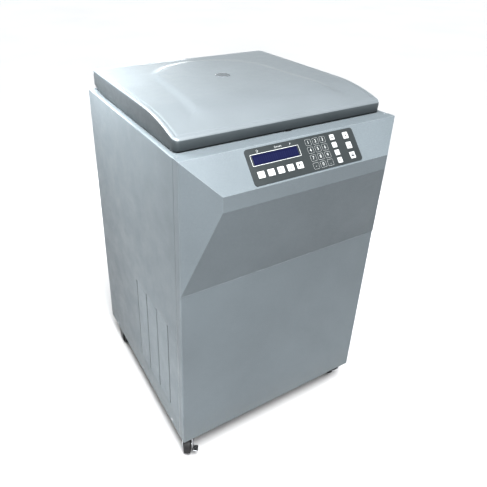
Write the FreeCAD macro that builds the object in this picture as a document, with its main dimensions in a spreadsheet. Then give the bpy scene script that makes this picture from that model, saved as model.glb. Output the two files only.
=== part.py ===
"""Floor-standing refrigerated laboratory centrifuge, as a parametric FreeCAD assembly.

Frame: +Z up, floor at Z = 0, front towards -Y, origin under the middle of the whole object.
Every size is a cell of the sheet "dims"; each piece is one labelled object bound to it.
"""
import FreeCAD, Part
import math
import os
from types import SimpleNamespace

import Sketcher

Vector = FreeCAD.Vector
Rotation = FreeCAD.Rotation
doc = FreeCAD.newDocument("laboratory_centrifuge")

# ---------------------------------------------------------------- driving sizes, millimetres
SIZES = {
    # cabinet
    "body_width": 600, "body_depth": 590, "body_height": 850, "ground_gap": 70,
    "panel_sheet": 1.5, "corner_radius": 3, "return_depth": 22, "seam_gap": 1, "hood_seam": 0.2,
    "panel_flange": 12, "hood_top_depth": 36,
    # faceted console hood
    "nose_depth": 58, "nose_width": 458, "nose_height": 37, "slope_drop": 69,
    "hood_height": 338, "hood_wall": 2,
    # deck and lid
    "deck_sheet": 2.5, "deck_hole_radius": 236, "lid_width": 578, "lid_front": 38,
    "lid_back": 575, "lid_rise_rear": 62, "lid_rise_middle": 59, "lid_rise_front": 31,
    "lid_middle": 200, "lid_gap": 3, "lid_wall": 3, "lid_edge_radius": 9,
    "lid_chamfer_start": 500, "lid_chamfer_rise": 20, "lid_crown_radius": 506,
    "liner_gap": 4.4, "liner_sheet": 2.6, "liner_edge_gap": 3, "plug_radius": 207, "plug_depth": 10,
    "liner_rear": 548, "liner_notch_half": 238,
    "port_radius": 20, "port_rise": 2.5, "port_depth": 335,
    # hinge
    "hinge_depth": 566, "hinge_rise": 10, "hinge_span": 262, "hinge_pin_radius": 4,
    "hinge_bore_radius": 4.06, "knuckle_radius": 7, "knuckle_half": 15, "ear_inner": 16.5,
    "ear_outer": 21, "leaf_start": 512, "leaf_low": 3.2, "hinge_foot": 2.5, "hinge_foot_length": 30,
    # latch
    "latch_pivot_depth": 40, "latch_pivot_drop": 52, "latch_pin_radius": 3,
    "latch_bore_radius": 3.06, "hook_half": 4, "hook_boss_radius": 6, "hook_tip_drop": 6,
    "hook_beak_drop": 11, "hook_reach": 4.6, "striker_front": 46, "striker_back": 49,
    "striker_half": 9, "striker_foot": 17, "striker_window_half": 5.5, "striker_bar": 4,
    "cheek_inner": 10, "cheek_outer": 12.5, "cheek_back": 50, "cheek_drop": 60,
    "slot_half": 12, "slot_front": 43, "slot_back": 52,
    # chamber
    "rotor_depth": 296, "bowl_radius": 215, "bowl_wall": 2, "bowl_drop": 6, "bowl_deep": 200,
    "bowl_corner": 14, "bowl_flange_radius": 240, "bowl_hole_radius": 26, "seal_inner": 219,
    "seal_outer": 231, "seal_height": 10, "guard_inner": 236, "guard_wall": 8,
    "coil_radius": 224, "coil_tube": 5, "suction_radius": 4.2, "coil_pitch": 26,
    "coil_start": 738, "coil_turns": 6,
    # rotor and buckets
    "pivot_level": 816, "pivot_radius": 105, "spindle_radius": 12, "spindle_collar": 16,
    "spindle_seat": 30, "spindle_nose": 14, "spindle_foot": 642, "seat_level": 800,
    "hub_radius": 46, "hub_height": 44, "yoke_low": 804, "yoke_high": 830,
    "arm_face": 43, "arm_tip": 54, "arm_end": 112, "neck_out": 60, "neck_in": 18, "neck_start": 44,
    "pin_radius": 6, "pin_length": 6.7, "nut_radius": 20, "nut_height": 20,
    "bucket_outer": 38, "bucket_inner": 34, "bucket_below": 88, "bucket_above": 16,
    "bucket_floor": 5, "bucket_round": 10, "boss_radius": 12, "boss_face": 41.7,
    "boss_root": 35, "socket_radius": 6.06, "socket_floor": 35.8,
    # drive
    "drive_deck_level": 660, "drive_deck_sheet": 6, "drive_deck_hole": 74, "rail_height": 28,
    "motor_radius": 70, "motor_low": 500, "motor_flange_radius": 105, "motor_flange_low": 684,
    "motor_flange_high": 690, "motor_boss_radius": 30, "motor_boss_high": 708,
    "bearing_radius": 12.05, "mount_circle": 90, "mount_radius": 14,
    # inner frame
    "tray_sheet": 3, "tray_lip": 25, "tray_gap": 4, "post_side": 28, "front_post": 84,
    "rear_post": 557, "post_top": 911,
    # refrigeration
    "compressor_x": 110, "compressor_depth": 462, "compressor_radius": 80,
    "compressor_low": 94, "compressor_high": 290, "compressor_dome": 34, "stub_radius": 9,
    "stub_level": 200, "stub_end": 40, "foot_high": 90, "foot_radius": 12, "foot_x": 85,
    "foot_y": 75, "plate_margin": 18,
    "condenser_x": 262, "condenser_wide": 44, "condenser_front": 92, "condenser_long": 200,
    "condenser_low": 110, "condenser_tall": 310, "fin_sheet": 1.2, "fin_count": 18,
    "tube_radius": 4.5, "tube_rows": 6,
    "fan_back": 200, "fan_front": 150, "fan_side": 200, "fan_bore": 92, "fan_hub": 28,
    "fan_level": 265, "fan_strut": 6, "blade_tip": 86, "blade_sheet": 2.4, "blade_count": 5,
    "fan_shaft": 4, "fan_shaft_bore": 4.06,
    # left and right vents
    "vent_front": 82, "vent_pitch_y": 70, "vent_columns": 4, "vent_low": 148, "vent_pitch_z": 10,
    "vent_rows": 29, "vent_hole": 3.4,
    # fasteners
    "screw_head": 4.6, "screw_dome": 1.2, "screw_shank": 2, "screw_length": 6,
    "screw_hole": 2.3, "screw_tapping": 2.06, "rear_screw_inset": 14, "screw_level": 84,
    "screw_first": 75, "screw_middle": 290, "screw_last": 520,
    # console
    "overlay_width": 300, "overlay_top": 5, "overlay_high": 81, "overlay_sheet": 1,
    "overlay_corner": 7, "window_centre": -76, "window_wide": 118, "window_top": 20,
    "window_high": 22, "window_sheet": 1.6, "key_gap": 0.35, "key_corner": 2, "key_rise": 0.9,
    "key_flange": 1.2, "key_flange_sheet": 1, "key_stem": 4.4, "key_stem_radius": 2,
    "cut_half": 143, "cut_top": 9.5, "cut_bottom": 83.5, "board_drop": 6.2, "board_sheet": 1.6,
    "row_key_wide": 17.5, "row_key_high": 15.5, "row_key_x": -127, "row_key_pitch": 25.4,
    "row_key_v": 64, "small_key": 13.5, "small_key_x": 85, "small_key_v": 18.5,
    "small_key_pitch": 18.6, "side_key_wide": 15.5, "side_key_high": 16.5, "side_key_x": 125,
    "side_key_v": 21, "side_key_pitch": 24.5,
    # rear services
    "rear_inset": 1.7, "inlet_x": 190, "inlet_level": 150, "inlet_wide": 60, "inlet_tall": 40,
    "inlet_flange": 2.5, "inlet_body_wide": 32, "inlet_body_tall": 26, "inlet_body_deep": 26,
    "socket_wide": 24, "socket_tall": 17, "socket_deep": 18, "rocker_level": 215,
    "rocker_wide": 14, "rocker_tall": 24, "rocker_deep": 12, "rocker_pin": 2, "rocker_bore": 2.06,
    "rocker_frame": 34, "spout_x": -190, "spout_level": 150, "spout_radius": 6, "spout_bore": 4,
    "spout_reach": 25, "spout_flange": 12, "spout_inside": 20, "spout_hole": 7,
    "louvre_count": 9, "louvre_low": 300, "louvre_pitch": 22, "louvre_half": 110, "louvre_high": 7,
    # casters
    "front_caster_x": 270, "front_caster": 36, "rear_caster_x": 281, "rear_caster": 510,
    "left_swivel": 150, "right_swivel": 0, "wheel_radius": 25,
    "wheel_width": 20, "tread_round": 4, "caster_trail": 16, "axle_radius": 4, "wheel_bore": 4.06,
    "fork_inner": 12.5, "fork_outer": 15, "fork_head": 61.5, "fork_root": 18, "fork_end": 9,
    "fork_tip": 4, "fork_notch": 7, "swivel_radius": 21,
    "swivel_top": 65.7, "king_radius": 6, "king_bore": 6.06, "king_nut_radius": 10,
    "king_nut_low": 73.4, "king_nut_high": 79, "caster_plate": 22, "caster_plate_low": 66,
    "brake_y": -14, "brake_z": 48, "brake_pin": 2, "brake_bore": 2.06, "brake_hub": 5,
    "brake_half": 8, "brake_cam_y": -10.8, "brake_cam_z": 38.5, "brake_cam_radius": 3,
    "lever_back": 12, "lever_root": 7, "lever_gap": 0.5, "lever_sheet": 3, "lever_wide": 15.5,
    "lever_start": 26, "lever_end": 42, "lever_level": 31,
}

sheet = doc.addObject("Spreadsheet::Sheet", "dims")
for row, (alias, number) in enumerate(SIZES.items(), start=1):
    sheet.set(f"A{row}", alias)
    sheet.set(f"B{row}", str(number))
    sheet.setAlias(f"B{row}", alias)
doc.recompute()


# ---------------------------------------------------------------- sizes with their expressions
class Size:
    """A number together with the sheet expression that gives it."""

    def __init__(self, value, text=None):
        self.value = float(value)
        self.text = text if text else f"({self.value!r})"

    def join(self, other, sign, value):
        return Size(value, f"({self.text} {sign} {other.text})")

    def __add__(self, other):
        other = size(other)
        return self.join(other, "+", self.value + other.value)

    def __sub__(self, other):
        other = size(other)
        return self.join(other, "-", self.value - other.value)

    def __mul__(self, other):
        other = size(other)
        return self.join(other, "*", self.value * other.value)

    def __truediv__(self, other):
        other = size(other)
        return self.join(other, "/", self.value / other.value)

    def __neg__(self):
        return Size(-self.value, f"(0 - {self.text})")

    def __radd__(self, other):
        return size(other) + self

    def __rsub__(self, other):
        return size(other) - self

    def __rmul__(self, other):
        return size(other) * self


def size(number):
    return number if isinstance(number, Size) else Size(number)


dim = SimpleNamespace(**{alias: Size(number, f"dims.{alias}") for alias, number in SIZES.items()})


def bind(obj, prop, value):
    obj.setExpression(prop, size(value).text)


def count(value):
    return int(round(value.value))


# ---------------------------------------------------------------- shared levels and stations
HALF = dim.body_width / 2
FRONT = (dim.nose_depth - dim.body_depth - dim.spout_reach) / 2
REAR = FRONT + dim.body_depth
DECK = dim.ground_gap + dim.body_height
HOOD_FOOT = DECK - dim.hood_height
ROTOR_Y = FRONT + dim.rotor_depth
BOWL_RIM = DECK - dim.bowl_drop
BOWL_FLOOR = BOWL_RIM - dim.bowl_deep
LINER_UNDER = DECK + dim.liner_gap
TRAY_TOP = dim.ground_gap + dim.tray_sheet
SLOPE_TEXT = f"atan({dim.slope_drop.text} / {dim.nose_depth.text})"
SLOPE_ANGLE = math.degrees(math.atan(dim.slope_drop.value / dim.nose_depth.value))

PIECES = []
TURN = {
    "x": Rotation(Vector(1, 1, 1), 120),
    "y": Rotation(Vector(1, 0, 0), 90),
    "z": Rotation(),
}
AIM = {
    "x": Rotation(Vector(0, 1, 0), 90),
    "y": Rotation(Vector(1, 0, 0), -90),
    "z": Rotation(),
}


def keep(obj, label):
    """Name an object as a finished piece."""
    obj.Label = label
    PIECES.append(obj)
    return obj


def place(obj, x=0, y=0, z=0, rotation=None):
    obj.Placement = FreeCAD.Placement(Vector(), rotation or Rotation())
    for name, value in zip("xyz", (x, y, z)):
        bind(obj, f"Placement.Base.{name}", value)
    return obj


# ---------------------------------------------------------------- sketches
def pin_point(sketch, geometry, end, x, y):
    """Tie one end of a line or arc, or a circle's centre, to its coordinates."""
    for kind, value, axis in (("DistanceX", x, -2), ("DistanceY", y, -1)):
        if abs(value.value) < 1e-9:
            sketch.addConstraint(Sketcher.Constraint("PointOnObject", geometry, end, axis))
        else:
            datum = Sketcher.Constraint(kind, -1, 1, geometry, end, value.value)
            index = sketch.addConstraint(datum)
            bind(sketch, f"Constraints[{index}]", value)


def arc_between(first, last, radius):
    """Arc from first to last; a positive radius turns left, a negative one turns right."""
    chord = last - first
    middle = (first + last) * 0.5
    reach = math.sqrt(max(radius * radius - chord.Length ** 2 / 4, 0))
    normal = Vector(-chord.y, chord.x, 0).normalize()
    centre = middle + normal * math.copysign(reach, radius)
    start, stop = (first, last) if radius > 0 else (last, first)
    angles = [math.atan2(point.y - centre.y, point.x - centre.x) for point in (start, stop)]
    return Part.ArcOfCircle(Part.Circle(centre, Vector(0, 0, 1), abs(radius)), *angles)


def outline(sketch, corners):
    """Closed outline; a corner is (x, y) or (x, y, radius of the arc that leaves it)."""
    corners = [tuple(size(value) for value in corner) for corner in corners]
    base = sketch.GeometryCount
    total = len(corners)
    starts = []
    for index, corner in enumerate(corners):
        after = corners[(index + 1) % total]
        first = Vector(corner[0].value, corner[1].value, 0)
        last = Vector(after[0].value, after[1].value, 0)
        if len(corner) == 3:
            sketch.addGeometry(arc_between(first, last, corner[2].value))
            starts.append((1, 2) if corner[2].value > 0 else (2, 1))
        else:
            sketch.addGeometry(Part.LineSegment(first, last))
            starts.append((1, 2))
    for index in range(total):
        after = (index + 1) % total
        sketch.addConstraint(Sketcher.Constraint(
            "Coincident", base + index, starts[index][1], base + after, starts[after][0]))
    for index, corner in enumerate(corners):
        pin_point(sketch, base + index, starts[index][0], corner[0], corner[1])
        if len(corner) == 3:
            radius = corner[2] if corner[2].value > 0 else -corner[2]
            datum = Sketcher.Constraint("Radius", base + index, radius.value)
            bind(sketch, f"Constraints[{sketch.addConstraint(datum)}]", radius)
    return sketch


def rectangle(sketch, x, y):
    return outline(sketch, [(x[0], y[0]), (x[1], y[0]), (x[1], y[1]), (x[0], y[1])])


def circle(sketch, x, y, radius):
    x, y, radius = size(x), size(y), size(radius)
    round_line = Part.Circle(Vector(x.value, y.value, 0), Vector(0, 0, 1), radius.value)
    index = sketch.addGeometry(round_line)
    pin_point(sketch, index, 3, x, y)
    datum = Sketcher.Constraint("Radius", index, radius.value)
    bind(sketch, f"Constraints[{sketch.addConstraint(datum)}]", radius)
    return sketch


# ---------------------------------------------------------------- PartDesign helpers
def new_body(label):
    return keep(doc.addObject("PartDesign::Body", label), label)


def body_sketch(body, role="XY_Plane", offset=0):
    sketch = body.newObject("Sketcher::SketchObject", "Sketch")
    plane = next(item for item in body.Origin.OriginFeatures if item.Role == role)
    sketch.AttachmentSupport = [(plane, "")]
    sketch.MapMode = "FlatFace"
    bind(sketch, ".AttachmentOffset.Base.z", offset)
    return sketch


def pad(body, sketch, length, reverse=False):
    feature = body.newObject("PartDesign::Pad", "Pad")
    feature.Profile = sketch
    feature.Reversed = reverse
    bind(feature, "Length", length)
    doc.recompute()
    return feature


def pocket(body, sketch, length, reverse=False):
    before = body.Shape.Volume
    feature = body.newObject("PartDesign::Pocket", "Pocket")
    feature.Profile = sketch
    feature.Reversed = reverse
    bind(feature, "Length", length)
    doc.recompute()
    if not body.Shape.Volume < before - 0.01:
        raise RuntimeError(f"pocket cut nothing in {body.Label}")
    return feature


def revolve(body, sketch):
    feature = body.newObject("PartDesign::Revolution", "Revolution")
    feature.Profile = sketch
    feature.ReferenceAxis = (sketch, ["V_Axis"])
    feature.Angle = 360
    doc.recompute()
    return feature


def round_edges(body, radius, wanted, kind="Fillet"):
    """Fillet or chamfer the edges of the body's last feature that the test accepts."""
    tip = body.Tip
    names = [f"Edge{index}" for index, edge in enumerate(tip.Shape.Edges, start=1) if wanted(edge)]
    if not names:
        raise RuntimeError(f"no edge to round in {body.Label}")
    feature = body.newObject(f"PartDesign::{kind}", kind)
    feature.Base = (tip, names)
    bind(feature, "Radius" if kind == "Fillet" else "Size", radius)
    doc.recompute()
    return feature


def polar(body, features, number, around=("XY_Plane", "N_Axis")):
    feature = body.newObject("PartDesign::PolarPattern", "PolarPattern")
    feature.Originals = features
    axis = next(item for item in body.Origin.OriginFeatures if item.Role == around)
    feature.Axis = (axis, [""])
    feature.Angle = 360
    feature.Occurrences = number
    body.Tip = feature
    doc.recompute()
    return feature


def runs_along(edge, axis):
    """True for a straight edge parallel to the named axis."""
    if edge.Curve.TypeId != "Part::GeomLine":
        return False
    first, last = (vertex.Point for vertex in edge.Vertexes)
    along = abs(getattr(last - first, axis))
    return along > 0.999 * edge.Length


def middle_of(edge):
    return edge.CenterOfMass


# ---------------------------------------------------------------- Part helpers
def block(x, y, z):
    """Box between three (low, high) pairs."""
    obj = doc.addObject("Part::Box", "Block")
    for prop, pair in (("Length", x), ("Width", y), ("Height", z)):
        bind(obj, prop, size(pair[1]) - pair[0])
    return place(obj, x[0], y[0], z[0])


def rod(along, radius, start, stop, first, second):
    """Cylinder along an axis; first and second are its centre on the two other axes, in order."""
    obj = doc.addObject("Part::Cylinder", "Rod")
    bind(obj, "Radius", radius)
    bind(obj, "Height", size(stop) - start)
    where = {"x": (start, first, second), "y": (first, start, second), "z": (first, second, start)}
    return place(obj, *where[along], rotation=AIM[along])


def prism(along, start, stop, corners):
    """Outline in the plane across an axis, drawn out along that axis from start to stop."""
    sketch = doc.addObject("Sketcher::SketchObject", "Outline")
    outline(sketch, corners)
    base = stop if along == "y" else start
    where = {"x": (base, 0, 0), "y": (0, base, 0), "z": (0, 0, base)}
    place(sketch, *where[along], rotation=TURN[along])
    solid = doc.addObject("Part::Extrusion", "Prism")
    solid.Base = sketch
    solid.DirMode = "Normal"
    solid.Solid = True
    bind(solid, "LengthFwd", size(stop) - start)
    return solid


def fuse(*parts):
    solid = doc.addObject("Part::MultiFuse", "Union")
    solid.Shapes = list(parts)
    return solid


def cut(base, *tools):
    solid = doc.addObject("Part::Cut", "Difference")
    solid.Base = base
    solid.Tool = tools[0] if len(tools) == 1 else fuse(*tools)
    return solid


def group(label, solids, x=0, y=0, z=0):
    """Several separate solids kept as one named piece."""
    feature = doc.addObject("Part::Feature", label)
    feature.Shape = Part.makeCompound(solids)
    place(feature, x, y, z)
    return keep(feature, label)


# ---------------------------------------------------------------- base tray, posts, drive deck
def make_base_tray():
    edge = HALF - dim.tray_gap
    front, rear = FRONT + dim.tray_gap, REAR - dim.tray_gap
    wall = dim.tray_sheet
    low, top, lip = dim.ground_gap, TRAY_TOP, TRAY_TOP + dim.tray_lip
    floor = block((-edge, edge), (front, rear), (low, top))
    lips = [block((-edge, wall - edge), (front, rear), (low, lip)),
            block((edge - wall, edge), (front, rear), (low, lip)),
            block((-edge, edge), (front, front + wall), (low, lip)),
            block((-edge, edge), (rear - wall, rear), (low, lip))]
    plates, bores, brackets, axles = [], [], [], []
    for side in (-1, 1):
        x = dim.front_caster_x * side
        y = FRONT + dim.front_caster
        plate_half = dim.caster_plate
        plates.append(block((x - plate_half, x + plate_half), (y - plate_half, y + plate_half),
                            (dim.caster_plate_low, top)))
        bores.append(rod("z", dim.king_bore, dim.caster_plate_low - 1, top + 1, x, y))
        x = dim.rear_caster_x * side
        y = FRONT + dim.rear_caster
        for cheek in (-1, 1):
            inner, outer = x + dim.fork_inner * cheek, x + dim.fork_outer * cheek
            start, stop = (inner, outer) if cheek > 0 else (outer, inner)
            brackets.append(prism("x", start, stop, [
                (y - dim.fork_root, low + 1), *fork_toe(y), (y + dim.fork_root, low + 1)]))
        axles.append(rod("x", dim.axle_radius, x - dim.fork_outer, x + dim.fork_outer,
                              y, dim.wheel_radius))
    keep(cut(fuse(floor, *lips, *plates, *brackets, *axles), *bores, *tray_screw_holes()),
         "base_tray")


def fork_toe(axle):
    """The end of a caster cheek that holds the axle."""
    level, end, tip = dim.wheel_radius, dim.fork_end, dim.fork_tip
    return [(axle - end, level - tip), (axle - tip, level - end),
            (axle + tip, level - end), (axle + end, level - tip)]


def tray_screw_holes():
    """Clearance holes in the tray's lips for the lowest row of panel screws."""
    edge, hole, level = HALF - dim.tray_gap, dim.screw_tapping, dim.screw_level
    stations = (dim.screw_first, dim.screw_middle, dim.screw_last)
    holes = [rod("x", hole, -edge - 1, edge + 1, FRONT + station, level) for station in stations]
    rear = REAR - dim.tray_gap
    for side in (-1, 1):
        holes.append(rod("y", hole, rear - 10, rear + 1, (HALF - dim.rear_screw_inset) * side, level))
    return holes


def make_frame_posts():
    solids = []
    half, side = HALF.value - dim.tray_gap.value - dim.tray_sheet.value, dim.post_side.value
    height = dim.post_top.value - TRAY_TOP.value
    for station in (dim.front_post.value, dim.rear_post.value - dim.tray_sheet.value):
        for x in (-half, half - side):
            solids.append(Part.makeBox(side, side, height, Vector(x, station, 0)))
    group("frame_posts", solids, 0, FRONT, TRAY_TOP)


def make_drive_deck():
    low, high = dim.drive_deck_level, dim.drive_deck_level + dim.drive_deck_sheet
    half = HALF - dim.tray_gap - dim.tray_sheet
    inner = half - dim.post_side - 1
    front, rear = FRONT + dim.front_post, FRONT + dim.rear_post - dim.tray_sheet
    first, last = front + dim.post_side + 1, rear - 1
    plate = block((-inner, inner), (front - dim.post_side, rear + dim.post_side), (low, high))
    wings = block((-half, half), (first, last), (low, high))
    rails = [block((-half, 3 - half), (first, last), (low - dim.rail_height, high)),
             block((half - 3, half), (first, last), (low - dim.rail_height, high))]
    motor_hole = rod("z", dim.drive_deck_hole, low - 1, high + 1, 0, ROTOR_Y)
    line_hole = rod("z", dim.coil_tube + 3, low - 1, high + 1, 0, ROTOR_Y + dim.coil_radius)
    keep(cut(fuse(plate, wings, *rails), motor_hole, line_hole), "drive_deck")


# ---------------------------------------------------------------- cabinet skins
def make_front_panel():
    body = new_body("front_panel")
    wall = dim.panel_sheet
    sketch = body_sketch(body)
    outline(sketch, [(-HALF, 0), (HALF, 0), (HALF, dim.return_depth),
                     (HALF - wall, dim.return_depth), (HALF - wall, wall), (wall - HALF, wall),
                     (wall - HALF, dim.return_depth), (-HALF, dim.return_depth)])
    pad(body, sketch, dim.body_height - dim.hood_height - dim.hood_seam)
    outer = body_corner_test(0)
    round_edges(body, dim.corner_radius, outer)
    place(body, 0, FRONT, dim.ground_gap)


def body_corner_test(y):
    """Upright edges at the two outer corners, at the given local Y."""
    def wanted(edge):
        spot = middle_of(edge)
        return runs_along(edge, "z") and abs(spot.y - y) < 0.01 and abs(spot.x) > HALF.value - 0.01
    return wanted


def make_console_hood():
    """Folded hood: a plain rear frame with a faceted, truncated pyramid in front of it."""
    body = new_body("console_hood")
    wall = dim.hood_wall
    nose_half = dim.nose_width / 2
    nose_top = dim.hood_height - dim.slope_drop
    nose_low = nose_top - dim.nose_height
    rear = body_sketch(body, "XZ_Plane", -dim.return_depth)
    rectangle(rear, (-HALF, HALF), (0, dim.hood_height))
    pad(body, rear, dim.return_depth)
    base = body_sketch(body, "XZ_Plane")
    rectangle(base, (-HALF, HALF), (0, dim.hood_height))
    nose = body_sketch(body, "XZ_Plane", dim.nose_depth)
    rectangle(nose, (-nose_half, nose_half), (nose_low, nose_top))
    loft = body.newObject("PartDesign::AdditiveLoft", "Loft")
    loft.Profile = base
    loft.Sections = [nose]
    loft.Ruled = True
    doc.recompute()
    lip = body_sketch(body, "XY_Plane", dim.hood_height)
    lip_half = HALF - dim.panel_flange - 0.4
    rectangle(lip, (-lip_half, lip_half), (dim.return_depth, dim.hood_top_depth - 0.4))
    pad(body, lip, wall, reverse=True)
    solid_volume = body.Shape.Volume
    inner_rear = body_sketch(body, "XZ_Plane", -dim.return_depth)
    rectangle(inner_rear, (wall - HALF, HALF - wall), (wall, dim.hood_height - wall))
    pocket(body, inner_rear, dim.return_depth, reverse=True)
    inner_base = body_sketch(body, "XZ_Plane")
    rectangle(inner_base, (wall - HALF, HALF - wall), (wall, dim.hood_height - wall))
    inner_nose = body_sketch(body, "XZ_Plane", dim.nose_depth - wall)
    rectangle(inner_nose, (wall - nose_half, nose_half - wall), (nose_low + wall, nose_top - wall))
    hollow = body.newObject("PartDesign::SubtractiveLoft", "Hollow")
    hollow.Profile = inner_base
    hollow.Sections = [inner_nose]
    hollow.Ruled = True
    doc.recompute()
    if body.Shape.Volume > solid_volume / 3:
        raise RuntimeError("the hood is not hollow")
    sketch = slope_sketch(body)
    rectangle(sketch, (-dim.cut_half, dim.cut_half), (-dim.cut_bottom, -dim.cut_top))
    pocket(body, sketch, dim.hood_wall * 3)
    place(body, 0, FRONT, HOOD_FOOT)


def slope_sketch(body):
    """Sketch on the hood's sloping control face: origin at the crease, Y up the slope."""
    sketch = body_sketch(body)
    sketch.AttachmentOffset = FreeCAD.Placement(Vector(), Rotation(Vector(1, 0, 0), SLOPE_ANGLE))
    bind(sketch, ".AttachmentOffset.Base.z", dim.hood_height)
    sketch.setExpression(".AttachmentOffset.Rotation.Angle", SLOPE_TEXT)
    return sketch


def make_side_panel(label, side):
    """Folded side skin with an inward top flange, a perforated vent and three screw holes."""
    body = new_body(label)
    wall, flange = dim.panel_sheet, dim.panel_flange
    tall = dim.body_height
    start = dim.return_depth + dim.seam_gap
    sketch = body_sketch(body, "XZ_Plane", -start)
    outer, inner, lip = HALF * side, (HALF - wall) * side, (HALF - flange) * side
    outline(sketch, [(outer, 0), (outer, tall), (lip, tall), (lip, tall - wall),
                     (inner, tall - wall), (inner, 0)])
    pad(body, sketch, dim.body_depth - start, reverse=True)

    def top_corner(edge):
        spot = middle_of(edge)
        return (runs_along(edge, "y") and abs(abs(spot.x) - HALF.value) < 0.01
                and spot.z > tall.value - 0.01)
    round_edges(body, dim.corner_radius, top_corner)
    level = -dim.ground_gap
    vent = body_sketch(body, "YZ_Plane", (HALF + 1) * side)
    for column in range(count(dim.vent_columns)):
        for row in range(count(dim.vent_rows)):
            circle(vent, dim.vent_front + dim.vent_pitch_y * column,
                   level + dim.vent_low + dim.vent_pitch_z * row, dim.vent_hole)
    for station in (dim.screw_first, dim.screw_middle, dim.screw_last):
        circle(vent, station, level + dim.screw_level, dim.screw_hole)
    pocket(body, vent, dim.panel_sheet + 2, reverse=side < 0)
    place(body, 0, FRONT, dim.ground_gap)


def make_rear_panel():
    body = new_body("rear_panel")
    half = HALF - dim.rear_inset
    sketch = body_sketch(body, "XZ_Plane")
    rectangle(sketch, (-half, half), (dim.ground_gap + 2, DECK - dim.deck_sheet - 1))
    rectangle(sketch, (dim.inlet_x - dim.inlet_body_wide / 2 - 0.5,
                       dim.inlet_x + dim.inlet_body_wide / 2 + 0.5),
              (dim.inlet_level - dim.inlet_body_tall / 2 - 0.5,
               dim.inlet_level + dim.inlet_body_tall / 2 + 0.5))
    rectangle(sketch, (dim.inlet_x - dim.rocker_frame / 2 + 4, dim.inlet_x + dim.rocker_frame / 2 - 4),
              (dim.rocker_level - dim.rocker_frame / 2, dim.rocker_level + dim.rocker_frame / 2))
    circle(sketch, dim.spout_x, dim.spout_level, dim.spout_hole)
    for index in range(count(dim.louvre_count)):
        low = dim.louvre_low + dim.louvre_pitch * index
        rectangle(sketch, (-dim.louvre_half, dim.louvre_half), (low, low + dim.louvre_high))
    for x, z in rear_screw_spots():
        circle(sketch, x, z, dim.screw_hole)
    pad(body, sketch, dim.panel_sheet)
    place(body, 0, REAR, 0)


def rear_screw_spots():
    half = HALF - dim.rear_screw_inset
    levels = (dim.screw_level, dim.ground_gap + dim.body_height / 2, DECK - 18)
    return [(half * side, level) for side in (-1, 1) for level in levels]


def make_top_deck():
    """Deck plate with the chamber mouth, latch slot and the latch bracket welded beneath."""
    low = DECK - dim.deck_sheet
    half = HALF - dim.panel_flange - 0.4
    plate = block((-half, half), (FRONT + dim.hood_top_depth, REAR - dim.panel_sheet - 0.3),
                  (low, DECK))
    cheeks = []
    for side in (-1, 1):
        inner, outer = dim.cheek_inner * side, dim.cheek_outer * side
        start, stop = (inner, outer) if side > 0 else (outer, inner)
        cheeks.append(block((start, stop), (FRONT + 29, FRONT + dim.cheek_back),
                            (DECK - dim.cheek_drop, low - 0.4)))
        cheeks.append(block((start, stop), (FRONT + dim.hood_top_depth + 0.5,
                                            FRONT + dim.cheek_back), (low - 1, low + 0.5)))
    pin = rod("x", dim.latch_pin_radius, -dim.cheek_outer, dim.cheek_outer,
              FRONT + dim.latch_pivot_depth, DECK - dim.latch_pivot_drop)
    mouth = rod("z", dim.deck_hole_radius, low - 1, DECK + 1, 0, ROTOR_Y)
    slot = block((-dim.slot_half + 3, dim.slot_half - 3),
                 (FRONT + dim.slot_front - 6, FRONT + dim.slot_back), (low - 1, DECK + 1))
    keep(cut(fuse(plate, *cheeks, pin), mouth, slot), "top_deck")


def make_panel_screws():
    head, dome = dim.screw_head.value, dim.screw_dome.value
    ball = (head * head + dome * dome) / (2 * dome)
    cap = Part.makeSphere(ball, Vector(0, 0, dome - ball))
    cap = cap.common(Part.makeCylinder(head, dome, Vector(0, 0, 0)))
    profile = cap.fuse(Part.makeCylinder(dim.screw_shank.value, dim.screw_length.value,
                                         Vector(0, 0, -dim.screw_length.value))).removeSplitter()
    solids = []
    spots = []
    for side in (-1, 1):
        for station in (dim.screw_first, dim.screw_middle, dim.screw_last):
            spots.append((HALF * side, station, dim.screw_level, Rotation(Vector(0, 1, 0), 90 * side)))
    for x, z in rear_screw_spots():
        spots.append((x, dim.body_depth, z, Rotation(Vector(1, 0, 0), -90)))
    for x, y, z, turn in spots:
        screw = profile.copy()
        screw.Placement = FreeCAD.Placement(Vector(x.value, y.value, z.value), turn)
        solids.append(screw)
    group("panel_screws", solids, 0, FRONT, 0)


# ---------------------------------------------------------------- console: overlay, keys, display
def on_slope(body):
    """Put a body drawn in slope coordinates on the control face."""
    place(body, 0, FRONT, DECK, Rotation(Vector(1, 0, 0), SLOPE_ANGLE))
    body.setExpression("Placement.Rotation.Angle", SLOPE_TEXT)


def key_layout():
    """Every travelling key: name, centre across, centre down the slope, width, height."""
    keys = []
    for index in range(5):
        keys.append((f"display_key_{index + 1}", dim.row_key_x + dim.row_key_pitch * index,
                     dim.row_key_v, dim.row_key_wide, dim.row_key_high))
    for index in range(4):
        keys.append((f"entry_key_{index + 1}", dim.small_key_x,
                     dim.small_key_v + dim.small_key_pitch * index, dim.small_key, dim.small_key))
    for index in range(3):
        keys.append((f"run_key_{index + 1}", dim.side_key_x,
                     dim.side_key_v + dim.side_key_pitch * index,
                     dim.side_key_wide, dim.side_key_high))
    return keys


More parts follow.
